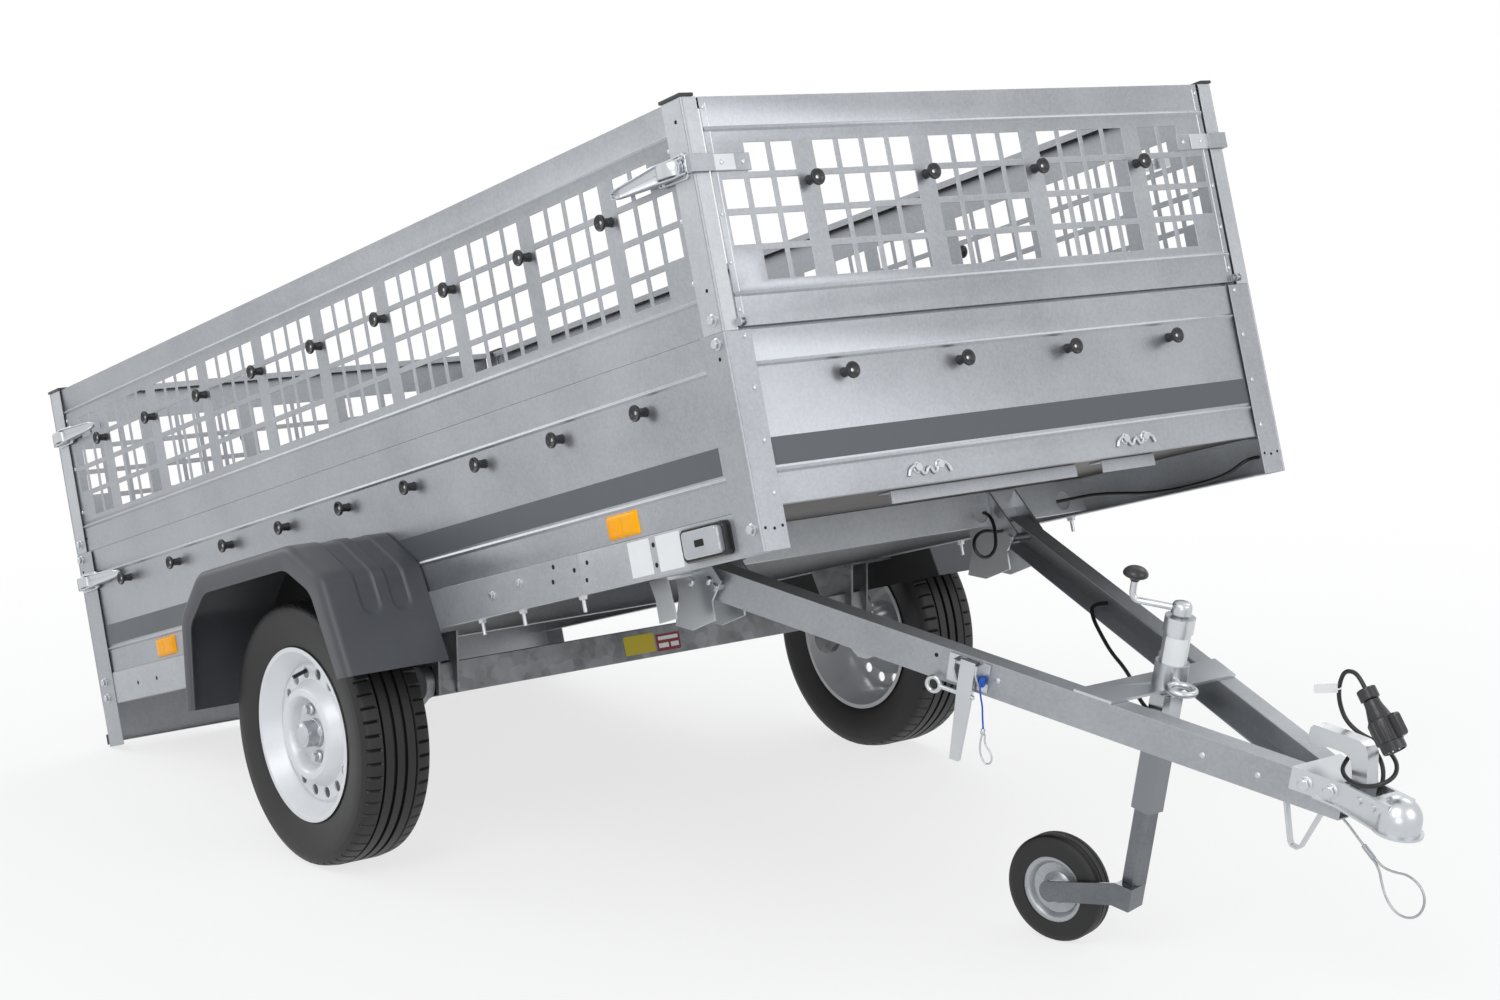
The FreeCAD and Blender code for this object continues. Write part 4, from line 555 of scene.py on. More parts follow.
        # Moulded lenses: clear gloss over small prisms
        FINISH["amber_lens"] = grained("amber_lens", look.amber, "#ff9d00", rough=0.2, grain_mm=3,
                                       relief_mm=0.25, pattern=CELLS, **{"Specular IOR Level": 0.2})
        FINISH["red_lens"] = grained("red_lens", "#b31314", "#8d0c0e", rough=0.16, grain_mm=3,
                                     relief_mm=0.25, pattern=CELLS, **{"Coat Weight": 0.5})
        FINISH["clear_lens"] = grained("clear_lens", "#b9bdc1", "#9da1a5", metallic=0.25, rough=0.14,
                                       grain_mm=3, relief_mm=0.2, pattern=CELLS, **{"Coat Weight": 0.6})
        # Lamp housings: black glossy moulding
        FINISH["lamp_housing"] = grained("glossy_moulding", "#1f2023", "#17181a", rough=0.28, grain_mm=2,
                                         relief_mm=0.03)
        # Enamelled plate and paper labels: plain off white
        FINISH["blank_plate"] = grained("enamelled_plate", "#e9e9e5", "#dfdfda", rough=0.35, grain_mm=3,
                                        relief_mm=0.01)
        FINISH["label"] = grained("label_film", "#eceded", "#e2e3e4", rough=0.42, grain_mm=2,
                                  relief_mm=0.01)
        FINISH["yellow_label"] = grained("yellow_label_film", "#cdb92c", "#b9a51f", rough=0.45, grain_mm=4,
                                         relief_mm=0.02)
        FINISH["red_label"] = grained("red_label_film", "#8c2430", "#731b26", rough=0.45, grain_mm=4,
                                      relief_mm=0.02)
        # Adhesive stripe: satin dark grey film
        FINISH["stripe"] = grained("stripe_film", look.stripe, "#565a5f", metallic=0.1, rough=0.4,
                                   grain_mm=4, relief_mm=0.01)
        # Holes and gaps: dull black, painted shade where they show the dark behind the sheet
        FINISH["shade"] = grained("hole_shade", "#131314", "#0d0d0e", rough=0.9, grain_mm=3, relief_mm=0.01)
        return {"FINISHED"}

    def zinc_with_painted_shade(self, level):
        """Zinc plate that turns from a darker tone, painted shade, to bright over a hand's breadth about a
        level.
        """
        made, tree, core = shader("jockey_tube_plate_painted_shade", "#c4c7ca", metallic=0.92)
        place = add(tree, "ShaderNodeTexCoord").outputs["Object"]
        height = add(tree, "ShaderNodeSeparateXYZ", None, {0: place}).outputs["Z"]
        share = add(tree, "ShaderNodeMapRange", None,
                    {"Value": height, "From Min": level + SHADE_PAINTED_TO, "From Max": level + BRIGHT_FROM})
        # The dark tone below the clamp is painted shade, the light one is the plate's own colour
        shaded(tree, core, share.outputs[0], "#85888c", "#cfd2d5", rough=0.24, spread=ZINC_SPREAD)
        return made


# Solids that a made piece stands for, those with a finish of their own, and those with wider edges
REPLACED = {"tyre_right", "tyre_left", "mudguard_right", "mudguard_left", "wall_knobs",
            "front_gate_knobs", "rear_gate_knobs", "tailgate_knobs", "toggle_levers", "marker_lamps",
            "side_reflectors", "rear_lamps", "electric_plug", "electric_cable", "frame_cable",
            "breakaway_cable", "breakaway_loop", "lanyard", "lanyard_clip", "jockey_crank", "jockey_tyre",
            "jockey_rim"}
OWN_FINISH = {"jockey_leg": "shaded_leg_zinc", "jockey_fork": "shaded_leg_zinc", "jockey_tube": "tube_zinc",
              "bridge_plate": "bright_zinc", "drawbar_beam_right": "beam_zinc",
              "drawbar_beam_left": "beam_zinc", "upper_posts": "post_zinc"}
BEAMS = {"drawbar_beam_right", "drawbar_beam_left"}
THICK = {"coupling_handle", "coupling_body", "tipping_latch", "rim_right", "rim_left",
         "axle_beam", "swing_arms"}


class TRAILER_OT_solids(bpy.types.Operator):
    """Dress the solids that keep their own shape"""
    bl_idname = "trailer.solids"
    bl_label = "Solids"

    def execute(self, context):
        sizes = context.scene.trailer_sizes
        slots = {s["node"]: s["material_slot"] for s in frame["record"]["subparts"]}
        for node in sorted(set(slots) - REPLACED):
            edge = sizes.casting_edge if node in THICK else sizes.beam_edge if node in BEAMS else sizes.edge
            dressed(node, OWN_FINISH.get(node, slots[node]), edge)
        return {"FINISHED"}


# Films on the walls, and labels on the rail and the axle beam, in millimetres of the box frame
FILM_SUNK, FILM_PROUD = 0.2, 0.5
STRIPE_REAR, STRIPE_FORE, STRIPE_HALF = 78, 2620, 593
RAIL_LABELS = [oblong(a, b, 7, 71, 1.5) for a, b in ((2308, 2375), (2395, 2468))]
LABEL_SUNK, LABEL_PROUD = 0.1, 0.4
AXLE_FACE, AXLE_LABEL_THICK = 1449.4, 1
YELLOW_LABEL, RED_LABEL = oblong(-102, -22, -119, -78, 4), oblong(-17, 46, -121, -84, 2)
LABEL_FIELDS = [oblong(a, b, c, d, 1) for a, b, c, d in
                ((-12, 41, -97, -89), (-12, 14, -114, -104), (20, 41, -114, -104))]

# The strip that closes the running gap behind the front gate's foot
SEAL_HALF, SEAL_LOW, SEAL_HIGH, SEAL_BACK, SEAL_FACE = 610, SEAM - 10, SEAM + 14, 2676.5, 2679.8
# Corner posts: rounded folds on the lower and the upper post
POST_ENDS = ((2, SEAM - 2), (SEAM + 2, BOX_TOP - 2))
FOLD_INSET, FOLD_RADIUS = 2.2, 3.1


def rectangle(y0, y1, z0, z1):
    """Rectangle from one corner to the other."""
    return [(y0, z0), (y1, z0), (y1, z1), (y0, z1)]


class TRAILER_OT_wall_marks(bpy.types.Operator):
    """Stripes, blank labels and the folds of the corner posts"""
    bl_idname = "trailer.wall_marks"
    bl_label = "Stripes and labels"

    def execute(self, context):
        sizes = context.scene.trailer_sizes
        low, high = sizes.stripe_low / MM, sizes.stripe_high / MM
        side = plate(rectangle(STRIPE_REAR, STRIPE_FORE, low, high),
                     -SIDE_SKIN + FILM_SUNK, -SIDE_SKIN - FILM_PROUD)
        front = plate(rectangle(-STRIPE_HALF, STRIPE_HALF, low, high),
                      FRONT_SKIN - FILM_SUNK, FRONT_SKIN + FILM_PROUD, axis=0)
        piece("wall_stripes", joined([mirrored(side), front]), "stripe", "chassis")
        labels = [plate(outline, -RAIL_FRONT_FACE + LABEL_SUNK, -RAIL_FRONT_FACE - LABEL_PROUD)
                  for outline in RAIL_LABELS]
        piece("rail_labels", joined(labels), "label", "chassis")
        for name, outline, finish in (("axle_label", YELLOW_LABEL, "yellow_label"),
                                      ("axle_label_small", RED_LABEL, "red_label")):
            piece(name, plate(outline, AXLE_FACE, AXLE_FACE + AXLE_LABEL_THICK, axis=0), finish, "chassis")
        face = AXLE_FACE + AXLE_LABEL_THICK
        fields = [plate(outline, face - LABEL_SUNK, face + LABEL_PROUD, axis=0) for outline in LABEL_FIELDS]
        piece("axle_label_fields", joined(fields), "label", "chassis")
        seal = plate(rectangle(-SEAL_HALF, SEAL_HALF, SEAL_LOW, SEAL_HIGH), SEAL_BACK, SEAL_FACE, axis=0)
        piece("gate_foot_seal", seal, "wall_zinc", "chassis")
        folds = []
        for foot, top in POST_ENDS:
            path = [(POST_FRONT - FOLD_INSET, -POST_SIDE + FOLD_INSET, z)
                    for z in (foot, (foot + top) / 2, top)]
            fold = tube(path, FOLD_RADIUS)
            folds += [fold, rear_mirrored(fold)]
        piece("post_folds", mirrored(joined(folds)), "wall_zinc", "chassis")
        return {"FINISHED"}


# Fasteners of the box's right side and front, in millimetres of the box frame. The left side mirrors them
OUT, FORE, DOWN, UP = (0, -1, 0), (1, 0, 0), (0, 0, -1), (0, 0, 1)
RIVETS = ([(2637, -SIDE_SKIN, z) for z in (700, 578, 470, 227, 87)]
          + [(63, -SIDE_SKIN, z) for z in (700, 580, 473, 227, 96)])
POST_RIVETS = [(POST_FRONT, -611, z) for z in (365, 276, 186, 96)]
REAR_POST_RIVETS = [(POST_FRONT, -638, z) for z in (330, 235, 140)]
POST_BOLTS = [(x, -POST_SIDE, z) for x, z in
              ((2678, 399), (2677, 358), (2679, 41), (29, 398), (20, 361), (36, 56), (37, 17))]
RAIL_BOLTS = [(1942, -RAIL_REAR_FACE, 48), (1841, -RAIL_REAR_FACE, 38)]
BRACKET_BOLTS = (1755, 1905, 2113)
BRACKET_Y, STUD_DROP = -632, 7
STUD = [(0, 0), (0, 4), (24, 4), (25, 3), (25, 0)]
HINGE_FACE = -415.8
HINGE_DOMES, HINGE_BOLTS = [(2157, HINGE_FACE, -9), (2212, HINGE_FACE, -14)], [(2186, HINGE_FACE, 31)]
HOLES = ([(x, -POST_SIDE, z) for x, z in ((2676, 450), (2677, 332), (2676, 741), (19, 331))]
         + [(61, -SIDE_SKIN, 408), (79, -SIDE_SKIN, 317)])
FOOT_HOLES = [(POST_FRONT, -643, 40), (POST_FRONT, -624, 37), (POST_FRONT, -606, 40)]
REAR_RAIL_HOLES = [(x, -RAIL_REAR_FACE, z) for x, z in
                   ((2064, 62), (2055, 35), (2131, 47), (215, 37), (320, 37), (580, 60), (646, 60), (582, 15),
                    (648, 15))]
FRONT_RAIL_HOLES = [(2173, -RAIL_FRONT_FACE, 55), (2163, -RAIL_FRONT_FACE, 24)]
LABEL_HOLES = [(2386, -RAIL_FRONT_FACE, 57), (2386, -RAIL_FRONT_FACE, 21)]
# Wire clips for the load's net: the wire's bends across the front wall, and where the clips sit
CLIP_BENDS = [(-50, -9), (-44, 5), (-26, 10), (-12, -14), (0, 8), (12, -14), (26, 10), (44, 5), (50, -9)]
CLIP_WIRE, CLIP_LIFT, CLIP_Z, CLIP_MIDDLES = 3.2, 3, 101, (-257, 264)
CLIP_BOLTS = [(0, -26, 4), (0, 26, 4)]


class TRAILER_OT_box_fasteners(bpy.types.Operator):
    """Rivets, bolts, holes and tie clips of the box"""
    bl_idname = "trailer.box_fasteners"
    bl_label = "Box fasteners"

    def execute(self, context):
        rivets = [heads(RIVET, RIVETS, OUT), heads(RIVET, POST_RIVETS, FORE),
                  rear_mirrored(heads(RIVET, REAR_POST_RIVETS, FORE))]
        piece("box_rivets", mirrored(joined(rivets)), "bright_zinc", "chassis")
        heavy = [bolts(POST_BOLTS, OUT), bolts(RAIL_BOLTS, OUT, 0.75),
                 bolts([(x, BRACKET_Y, 0) for x in BRACKET_BOLTS], DOWN),
                 heads(STUD, [(x, BRACKET_Y, -STUD_DROP) for x in BRACKET_BOLTS], DOWN),
                 heads(DOME, HINGE_DOMES, OUT, 1.3), bolts(HINGE_BOLTS, OUT, 0.8)]
        piece("box_bolts", mirrored(joined(heavy)), "bright_zinc", "chassis")
        # Holes as thin dark discs: painted shade
        holes = [heads(HOLE, HOLES, OUT), heads(HOLE, FOOT_HOLES, FORE, 0.8),
                 heads(HOLE, REAR_RAIL_HOLES, OUT, 1.3), heads(HOLE, FRONT_RAIL_HOLES, OUT, 1.2),
                 heads(HOLE, LABEL_HOLES, OUT, 1.3)]
        piece("box_holes", mirrored(joined(holes)), "shade", "chassis")
        path = softened(np.insert(np.array(CLIP_BENDS), 0, CLIP_LIFT, axis=1), 3)
        points, faces = joined([tube(path, CLIP_WIRE, FORE), bolts(CLIP_BOLTS, FORE, 0.95)])
        clips = [(points + [FRONT_SKIN, y, CLIP_Z], faces) for y in CLIP_MIDDLES]
        piece("tie_clips", joined(clips), "bright_zinc", "chassis")
        return {"FINISHED"}


# Tie knobs: a bobbin with a flange at the wall and a dished face with its screw
KNOB = softened([(0, 0), (0, 9.5), (3, 8.6), (9, 8), (15, 8), (19, 10.5), (21.5, 15), (27, 15),
                 (27, 12), (23, 8.5), (22, 4), (22, 0)], 1)
SCREW = [(21, 0), (21, 3.4), (22.6, 3.2), (23, 2.2), (23, 0)]


def columns(count):
    """Centres of the plain bands between the window groups."""
    return (np.arange(count) - (count - 1) / 2) * GROUP_PITCH


def end_heads(profile, face, height):
    """Row of turned heads across the front end."""
    return heads(profile, [(face, y, height) for y in columns(4)], FORE, turns=24)


def wall_heads(profile):
    """Both rows on the side walls, and the row on the lower front wall."""
    side = [(BOX_LENGTH / 2 + x, -SIDE_SKIN, z) for x in columns(9) for z in (UPPER_KNOB_Z, LOWER_KNOB_Z)]
    return joined([mirrored(heads(profile, side, OUT, turns=24)),
                   end_heads(profile, FRONT_SKIN, LOWER_KNOB_Z)])


def front_heads(profile):
    """Row on the front gate."""
    return end_heads(profile, GATE_FACE, UPPER_KNOB_Z)


def rear_heads(profile):
    """Row on the rear gate."""
    return rear_mirrored(end_heads(profile, GATE_FACE, UPPER_KNOB_Z))


def tail_heads(profile):
    """Row on the tailgate."""
    return rear_mirrored(end_heads(profile, GATE_FACE, LOWER_KNOB_Z))


class TRAILER_OT_knobs(bpy.types.Operator):
    """Tie knobs of the walls and gates"""
    bl_idname = "trailer.knobs"
    bl_label = "Tie knobs"

    def execute(self, context):
        for node, body, made in (("wall_knobs", "chassis", wall_heads),
                                 ("front_gate_knobs", "front_gate", front_heads),
                                 ("rear_gate_knobs", "rear_gate", rear_heads),
                                 ("tailgate_knobs", "tailgate", tail_heads)):
            piece(node + "_turned", made(KNOB), "knob_plastic", body, replaces=(node,))
            piece(node + "_screws", made(SCREW), "bright_zinc", body)
        return {"FINISHED"}


# Toggle latch beside the post: u runs back along the wall, v out of it, w up, in millimetres
TOGGLE_GAP = 0.3
BASE_OUTLINE = rounded([(0, -23), (0, 23), (84, 21), (90, 12), (90, -12), (84, -21)], 8)
BASE_STEPS = [(0, 0), (4, 0), (5, 1), (5, 3), (2.5, 4.5), (2.5, 18)]
LEVER_OUTLINE = rounded([(10, -16), (10, 16), (60, 17), (205, 9), (222, 4), (222, -4), (205, -9), (60, -17)],
                        14)
LEVER_AT, LEVER_RISE = [10, 70, 205, 224], [12, 25, 13, 8]
# The lever's skin from its foot over the rim into its sunk middle: share of the rise, lift and inset. Its
# last ring is the one before, made narrow by LEVER_CLOSE
LEVER_CLOSE = 0.05
LEVER_SKIN = ((0, 3.5, 0), (1, 0, 0), (1, 1, 1.5), (1, 1, 3), (1, -7, 4.2), (1, -7.5, 7))
CLAW_MIDDLE, CLAW_INNER, CLAW_HALF = np.array([40, 6]), 0.84, 12
CLAW_PATH = bent([(12, 5), (16, 18), (30, 29), (52, 29), (66, 22), (68, 8)], 8)
LINK_PATHS = [[(60, 14, w), (30, 13, w), (-2, 9, w)] for w in (-13.5, 13.5)]
BASE_RIVETS = [(16, 2.5, 15), (74, 2.5, 15), (74, 2.5, -15)]


def toggle(height):
    """Toggle on the right side by the front post: base, lever, claw, links' wires and base's rivets."""
    rise = np.interp(LEVER_OUTLINE[:, 0], LEVER_AT, LEVER_RISE)
    skin = []
    for share, lift, by in LEVER_SKIN:
        drawn = shrunk(LEVER_OUTLINE, by)
        skin.append(np.stack([drawn[:, 0], rise * share + lift, drawn[:, 1]], 1))
    skin.append(skin[-1] * [1, 1, LEVER_CLOSE])
    inner = CLAW_MIDDLE + (CLAW_PATH - CLAW_MIDDLE) * CLAW_INNER
    claw = plate(np.concatenate([CLAW_PATH, inner[::-1]]), -CLAW_HALF, CLAW_HALF, axis=2, edge=0.8)
    shapes = [levels(BASE_OUTLINE, BASE_STEPS), lofted(np.array(skin)), claw]
    shapes += [tube(path, 2) for path in LINK_PATHS] + [heads(DOME, BASE_RIVETS, (0, 1, 0), 0.7)]
    points, faces = joined(shapes)
    start = [LATCH_END, -POST_SIDE - TOGGLE_GAP, height + LATCH_HIGH / 2]
    return points * [-1, -1, 1] + start, faces


# Rivets and folds down the gates' ends: y of each, how far the strap's layer stands, the fold's depth, wire
# and ends, and the rivets' heights
STRAP_LAYER, STRAP_NEAR, STRAP_FAR, EDGE_RIVET_Y, EDGE_FOLD_Y = (2.8, 5.5), 566, 620, 610, 603.5
STRAP_RIVETS = ((5.5, 595), (3, 547))
FOLD_SUNK, FOLD_WIRE, FOLD_PAST, FOLD_BELOW = 0.6, 1.4, 8, 60
GATE_RIVETS, TAILGATE_RIVETS = (761, 575, 492, 410), (240, 160, 110)


class TRAILER_OT_toggles(bpy.types.Operator):
    """Toggle latches, and the rivets and folds of the gates that they pull on"""
    bl_idname = "trailer.toggles"
    bl_label = "Toggle latches"

    def execute(self, context):
        high, low = toggle(LATCH_Z), toggle(LOW_LATCH_Z)
        toggles = mirrored(joined([high, rear_mirrored(joined([high, low]))]))
        piece("toggle_levers_pressed", toggles, "bright_zinc", "chassis", replaces=("toggle_levers",))
        for node, height, rows, turned in (("front_gate", LATCH_Z, GATE_RIVETS, unturned),
                                           ("rear_gate", LATCH_Z, GATE_RIVETS, rear_mirrored),
                                           ("tailgate", LOW_LATCH_Z, TAILGATE_RIVETS, rear_mirrored)):
            near, far = (GATE_FACE + proud for proud in STRAP_LAYER)
            layer = plate(rectangle(-STRAP_FAR, -STRAP_NEAR, height + 1, height + LATCH_HIGH - 1), near, far,
                          axis=0, edge=0.6)
            rivets = [heads(RIVET, [(GATE_FACE + proud, -y, height + LATCH_HIGH / 2)], FORE)
                      for proud, y in STRAP_RIVETS]
            rivets.append(heads(RIVET, [(GATE_FACE, -EDGE_RIVET_Y, z) for z in rows], FORE, 0.9))
            ends = (rows[-1] - FOLD_PAST, rows[0] - FOLD_BELOW, rows[0] + FOLD_PAST)
            fold = tube([(GATE_FACE - FOLD_SUNK, -EDGE_FOLD_Y, z) for z in ends], FOLD_WIRE)
            shape = mirrored(joined([layer, fold] + rivets))
            piece(node + "_rivets", turned(shape), "bright_zinc", node)
        return {"FINISHED"}


# Reflectors' lenses: steps along and up, and the dips as depth, place from the middle and width, in shares
LENS_ALONG, LENS_UP = 41, 21
LENS_DIPS = ((0.2, 0, 0.06), (0.12, 0.8, 0.05))


def pillow(low_x, high_x, low_z, high_z, foot, depth):
    """Lens on the right side: d (1 - u^12)(1 - v^8), times 1 - a exp(-((|u| - m) / w)^2) for each dip."""
    u, v = np.meshgrid(np.linspace(-1, 1, LENS_ALONG), np.linspace(-1, 1, LENS_UP), indexing="ij")
    bulge = (1 - u ** 12) * (1 - v ** 8)
    for dip, middle, width in LENS_DIPS:
        bulge *= 1 - dip * np.exp(-((np.abs(u) - middle) / width) ** 2)
    x = low_x + (u + 1) / 2 * (high_x - low_x)
    z = low_z + (v + 1) / 2 * (high_z - low_z)
    top = grid(np.stack([x, -foot - depth * bulge, z], 2))
    back = grid(np.stack([x, np.full_like(x, -foot), z], 2)[::-1])
    return joined([top, back])


# Marker lamps on the rails and lamp clusters at the rear, in millimetres of the box frame
LAMP_FACE = -651.3
CASE_OUTLINE = rounded([(2490, 16), (2497, 9), (2611, 9), (2618, 16), (2618, 62), (2611, 69), (2497, 69),
                        (2490, 62)], 4)
CASE_STEPS = [(0, 0), (14, 0), (17, 2), (17, 4), (13, 5), (13, 20)]
LENS_OUTLINE = oblong(2508, 2608, 15, 63, 6)
LENS_STEPS = [(12, 0), (25, 0), (28, 2), (28.8, 6), (28.8, 20)]
CHIP_OUTLINE, CHIP_FROM, CHIP_TO = oblong(2546, 2572, 33, 45, 2), 28, 29.4
LAMP_SCREW = (2500, LAMP_FACE - 13, 27)
CLUSTER_OUTLINE, CLUSTER_FACE, CLUSTER_BACK = oblong(-594, -359, -62, 43, 12), 2, -16
CLUSTER_LENSES = {"amber": oblong(-588, -528, -54, 35, 8), "red": oblong(-524, -436, -54, 35, 8),
                  "reverse": oblong(-432, -366, -54, 35, 8)}
LENS_FOOT, LENS_FACE = -14, -28
REFLECTOR_STARTS, REFLECTOR_LENGTH, REFLECTOR_DEPTH = (2258, 348), 98, 7.2
REFLECTOR_LOW, REFLECTOR_HIGH = 82, 126


def out_of_side(steps):
    """Steps of distance out of the lamp's face as levels across the box."""
    return [(LAMP_FACE - far, by) for far, by in steps]


class TRAILER_OT_lamps(bpy.types.Operator):
    """Marker lamps, reflectors and rear lamps"""
    bl_idname = "trailer.lamps"
    bl_label = "Lamps"

    def execute(self, context):
        rear = {name: plate(outline, LENS_FOOT, LENS_FACE, axis=0, edge=2)
                for name, outline in CLUSTER_LENSES.items()}
        housing = levels(CASE_OUTLINE, out_of_side(CASE_STEPS))
        cluster = plate(CLUSTER_OUTLINE, CLUSTER_FACE, CLUSTER_BACK, axis=0, edge=3)
        piece("lamp_housings", mirrored(joined([housing, cluster])), "lamp_housing", "chassis",
              replaces=("marker_lamps", "rear_lamps"))
        lens = levels(LENS_OUTLINE, out_of_side(LENS_STEPS))
        piece("clear_lenses", mirrored(joined([lens, rear["reverse"]])), "clear_lens", "chassis")
        eyes = [pillow(x, x + REFLECTOR_LENGTH, REFLECTOR_LOW, REFLECTOR_HIGH, SIDE_SKIN, REFLECTOR_DEPTH)
                for x in REFLECTOR_STARTS]
        piece("amber_lenses", mirrored(joined([rear["amber"]] + eyes)), "amber_lens", "chassis",
              replaces=("side_reflectors",))
        piece("red_lenses", mirrored(rear["red"]), "red_lens", "chassis")
        chip = plate(CHIP_OUTLINE, LAMP_FACE - CHIP_FROM, LAMP_FACE - CHIP_TO)
        piece("lamp_chips", mirrored(chip), "shade", "chassis")
        piece("lamp_screws", mirrored(bolts([LAMP_SCREW], OUT, 0.6)), "bright_zinc", "chassis")
        return {"FINISHED"}


# Road wheels in the box frame: the tyre's outline as shares of half width and radius, from the bead to the
# tread, the rib beside the rim, the shoulders' cuts, the disc's face, the grease cap and the valve
WHEEL_X, WHEEL_Y, WHEEL_Z = 1280, 740, -158
TYRE_HALF, TYRE_RADIUS, BEAD = 78.5, 273.5, (63.5, 175.3)
TYRE_SHARES = np.array([(0.9, 0.71), (1, 0.86), (0.97, 0.93), (0.91, 0.968), (0.82, 0.987), (0.5, 1)])
GROOVES = (-38, -12, 12, 38)
TREAD_LIP, TREAD_FOOT = 4, 3
RIB_AT, RIB_WIDTH, RIB_HIGH = 0.915, 0.006, 1.6
SHOULDER_FROM, SHOULDER_OVER, SHOULDER_CUT, STEPS_A_BLOCK = 42, 0.968, 0.6, 8
DISC_FACE, BOLT_CIRCLE, BOLT_PROUD = -39.5, 49, 7
CAP = softened([(-0.2, 0), (-0.2, 29), (2, 29), (3, 27), (26, 26), (33, 20), (35, 8), (35, 0)], 1)
VALVE_PATH, VALVE_RADIUS = [(0, -33.5, 128), (0, -49.5, 124), (0, -65.5, 119)], 4.2


def right_wheel(shape):
    """The shape placed at the right wheel's centre: local x forward, -y outwards."""
    points, faces = shape
    return points + [WHEEL_X, -WHEEL_Y, WHEEL_Z], faces


class TRAILER_OT_tyres(bpy.types.Operator):
    """Road tyres with grooves, shoulder cuts and a rim guard"""
    bl_idname = "trailer.tyres"
    bl_label = "Tyres"

    def execute(self, context):
        sizes = context.scene.trailer_sizes
        groove = sizes.groove_depth / MM
        wall = softened(np.concatenate([[BEAD], TYRE_SHARES * [TYRE_HALF, TYRE_RADIUS]]), 2)
        edges = [g + d for g in GROOVES[::-1] for d in (TREAD_LIP, TREAD_FOOT, -TREAD_FOOT, -TREAD_LIP)]
        inner = [a for a in edges if abs(a) < wall[-1][0]]
        crown = np.interp(np.abs(inner), [0, wall[-1][0]], [TYRE_RADIUS, wall[-1][1]])
        sunk = np.array([any(abs(a - g) < (TREAD_LIP + TREAD_FOOT) / 2 for g in GROOVES) for a in inner])
        tread = np.stack([inner, crown - sunk * groove], 1)
        profile = np.concatenate([wall, tread, wall[::-1] * [-1, 1], [BEAD] * np.array([[-1, 1]])])
        a, r = profile.T
        a = a + np.sign(a) * np.exp(-((r / TYRE_RADIUS - RIB_AT) / RIB_WIDTH) ** 2) * RIB_HIGH
        turns = sizes.tread_blocks * STEPS_A_BLOCK
        t = np.linspace(0, math.tau, turns, endpoint=False)[:, None]
        shoulder = (np.abs(a) > SHOULDER_FROM) & (r > SHOULDER_OVER * TYRE_RADIUS)
        cut = (np.arange(turns) % STEPS_A_BLOCK == 0)[:, None] * shoulder[None, :] * groove * SHOULDER_CUT
        rr = r[None, :] - cut
        points = np.stack([rr * np.cos(t), np.broadcast_to(-a[None, :], rr.shape), rr * np.sin(t)], 2)
        right = right_wheel(grid(points, closed_u=True, closed_v=True))
        for side, shape in (("right", right), ("left", turned_over(right))):
            node = "tyre_" + side
            piece(node + "_treaded", shape, "rubber_tyre", "wheel_" + side, smooth=30, replaces=(node,))
        return {"FINISHED"}


class TRAILER_OT_hubs(bpy.types.Operator):
    """Grease caps, wheel bolts and valves"""
    bl_idname = "trailer.hubs"
    bl_label = "Hubs"

    def execute(self, context):
        turn = np.arange(4) * math.pi / 2
        places = np.stack([np.cos(turn), 0 * turn, np.sin(turn)], 1) * BOLT_CIRCLE + [0, DISC_FACE, 0]
        cap = right_wheel(joined([revolved(CAP, (0, DISC_FACE, 0), OUT, 32),
                                  heads(DOME, places, OUT, 1.9, 20),
                                  heads(HEXAGON, places + [0, -BOLT_PROUD, 0], OUT, 1.25, 6)]))
        valve = right_wheel(tube(VALVE_PATH, VALVE_RADIUS, FORE))
        for side, turned in (("right", unturned), ("left", turned_over)):
            piece("hub_caps_" + side, turned(cap), "bright_zinc", "wheel_" + side)
            piece("valve_" + side, turned(valve), "solid_rubber", "wheel_" + side)
        return {"FINISHED"}


# Mudguards in the box frame: inner and outer edge, wall, depth of the skirt and radius of the rolled edge
GUARD_INNER, GUARD_OUTER, GUARD_WALL, GUARD_SKIRT, GUARD_EDGE = -653.3, -882.3, 4, 46, 16


def guard_outline(inset):
    """Mudguard seen from the side, drawn in by an inset, its corners curved."""
    half = np.array([(362 - inset, -65), (315 - inset, 135 - inset / 2), (205 - inset / 2, 215 - inset)])
    return bent(np.concatenate([half, half[::-1] * [-1, 1]]), 22, 9)


# Sunk grooves of the mudguards: where they start and end along the outline, half their width, their depth,
# the slope's width and their places across the guard. The lip is where the skirt's foot sets back
GROOVE_START, GROOVE_END, GROOVE_HALF, GROOVE_DEPTH, GROOVE_SLOPE = 165, 405, 22, 3.5, 4
GROOVE_MIDDLES = (97, 166)
LIP_FROM, LIP_SET = 38, 1.2
TOP_STEPS, CORNER_STEPS, RUN_STEPS = 71, 9, 181


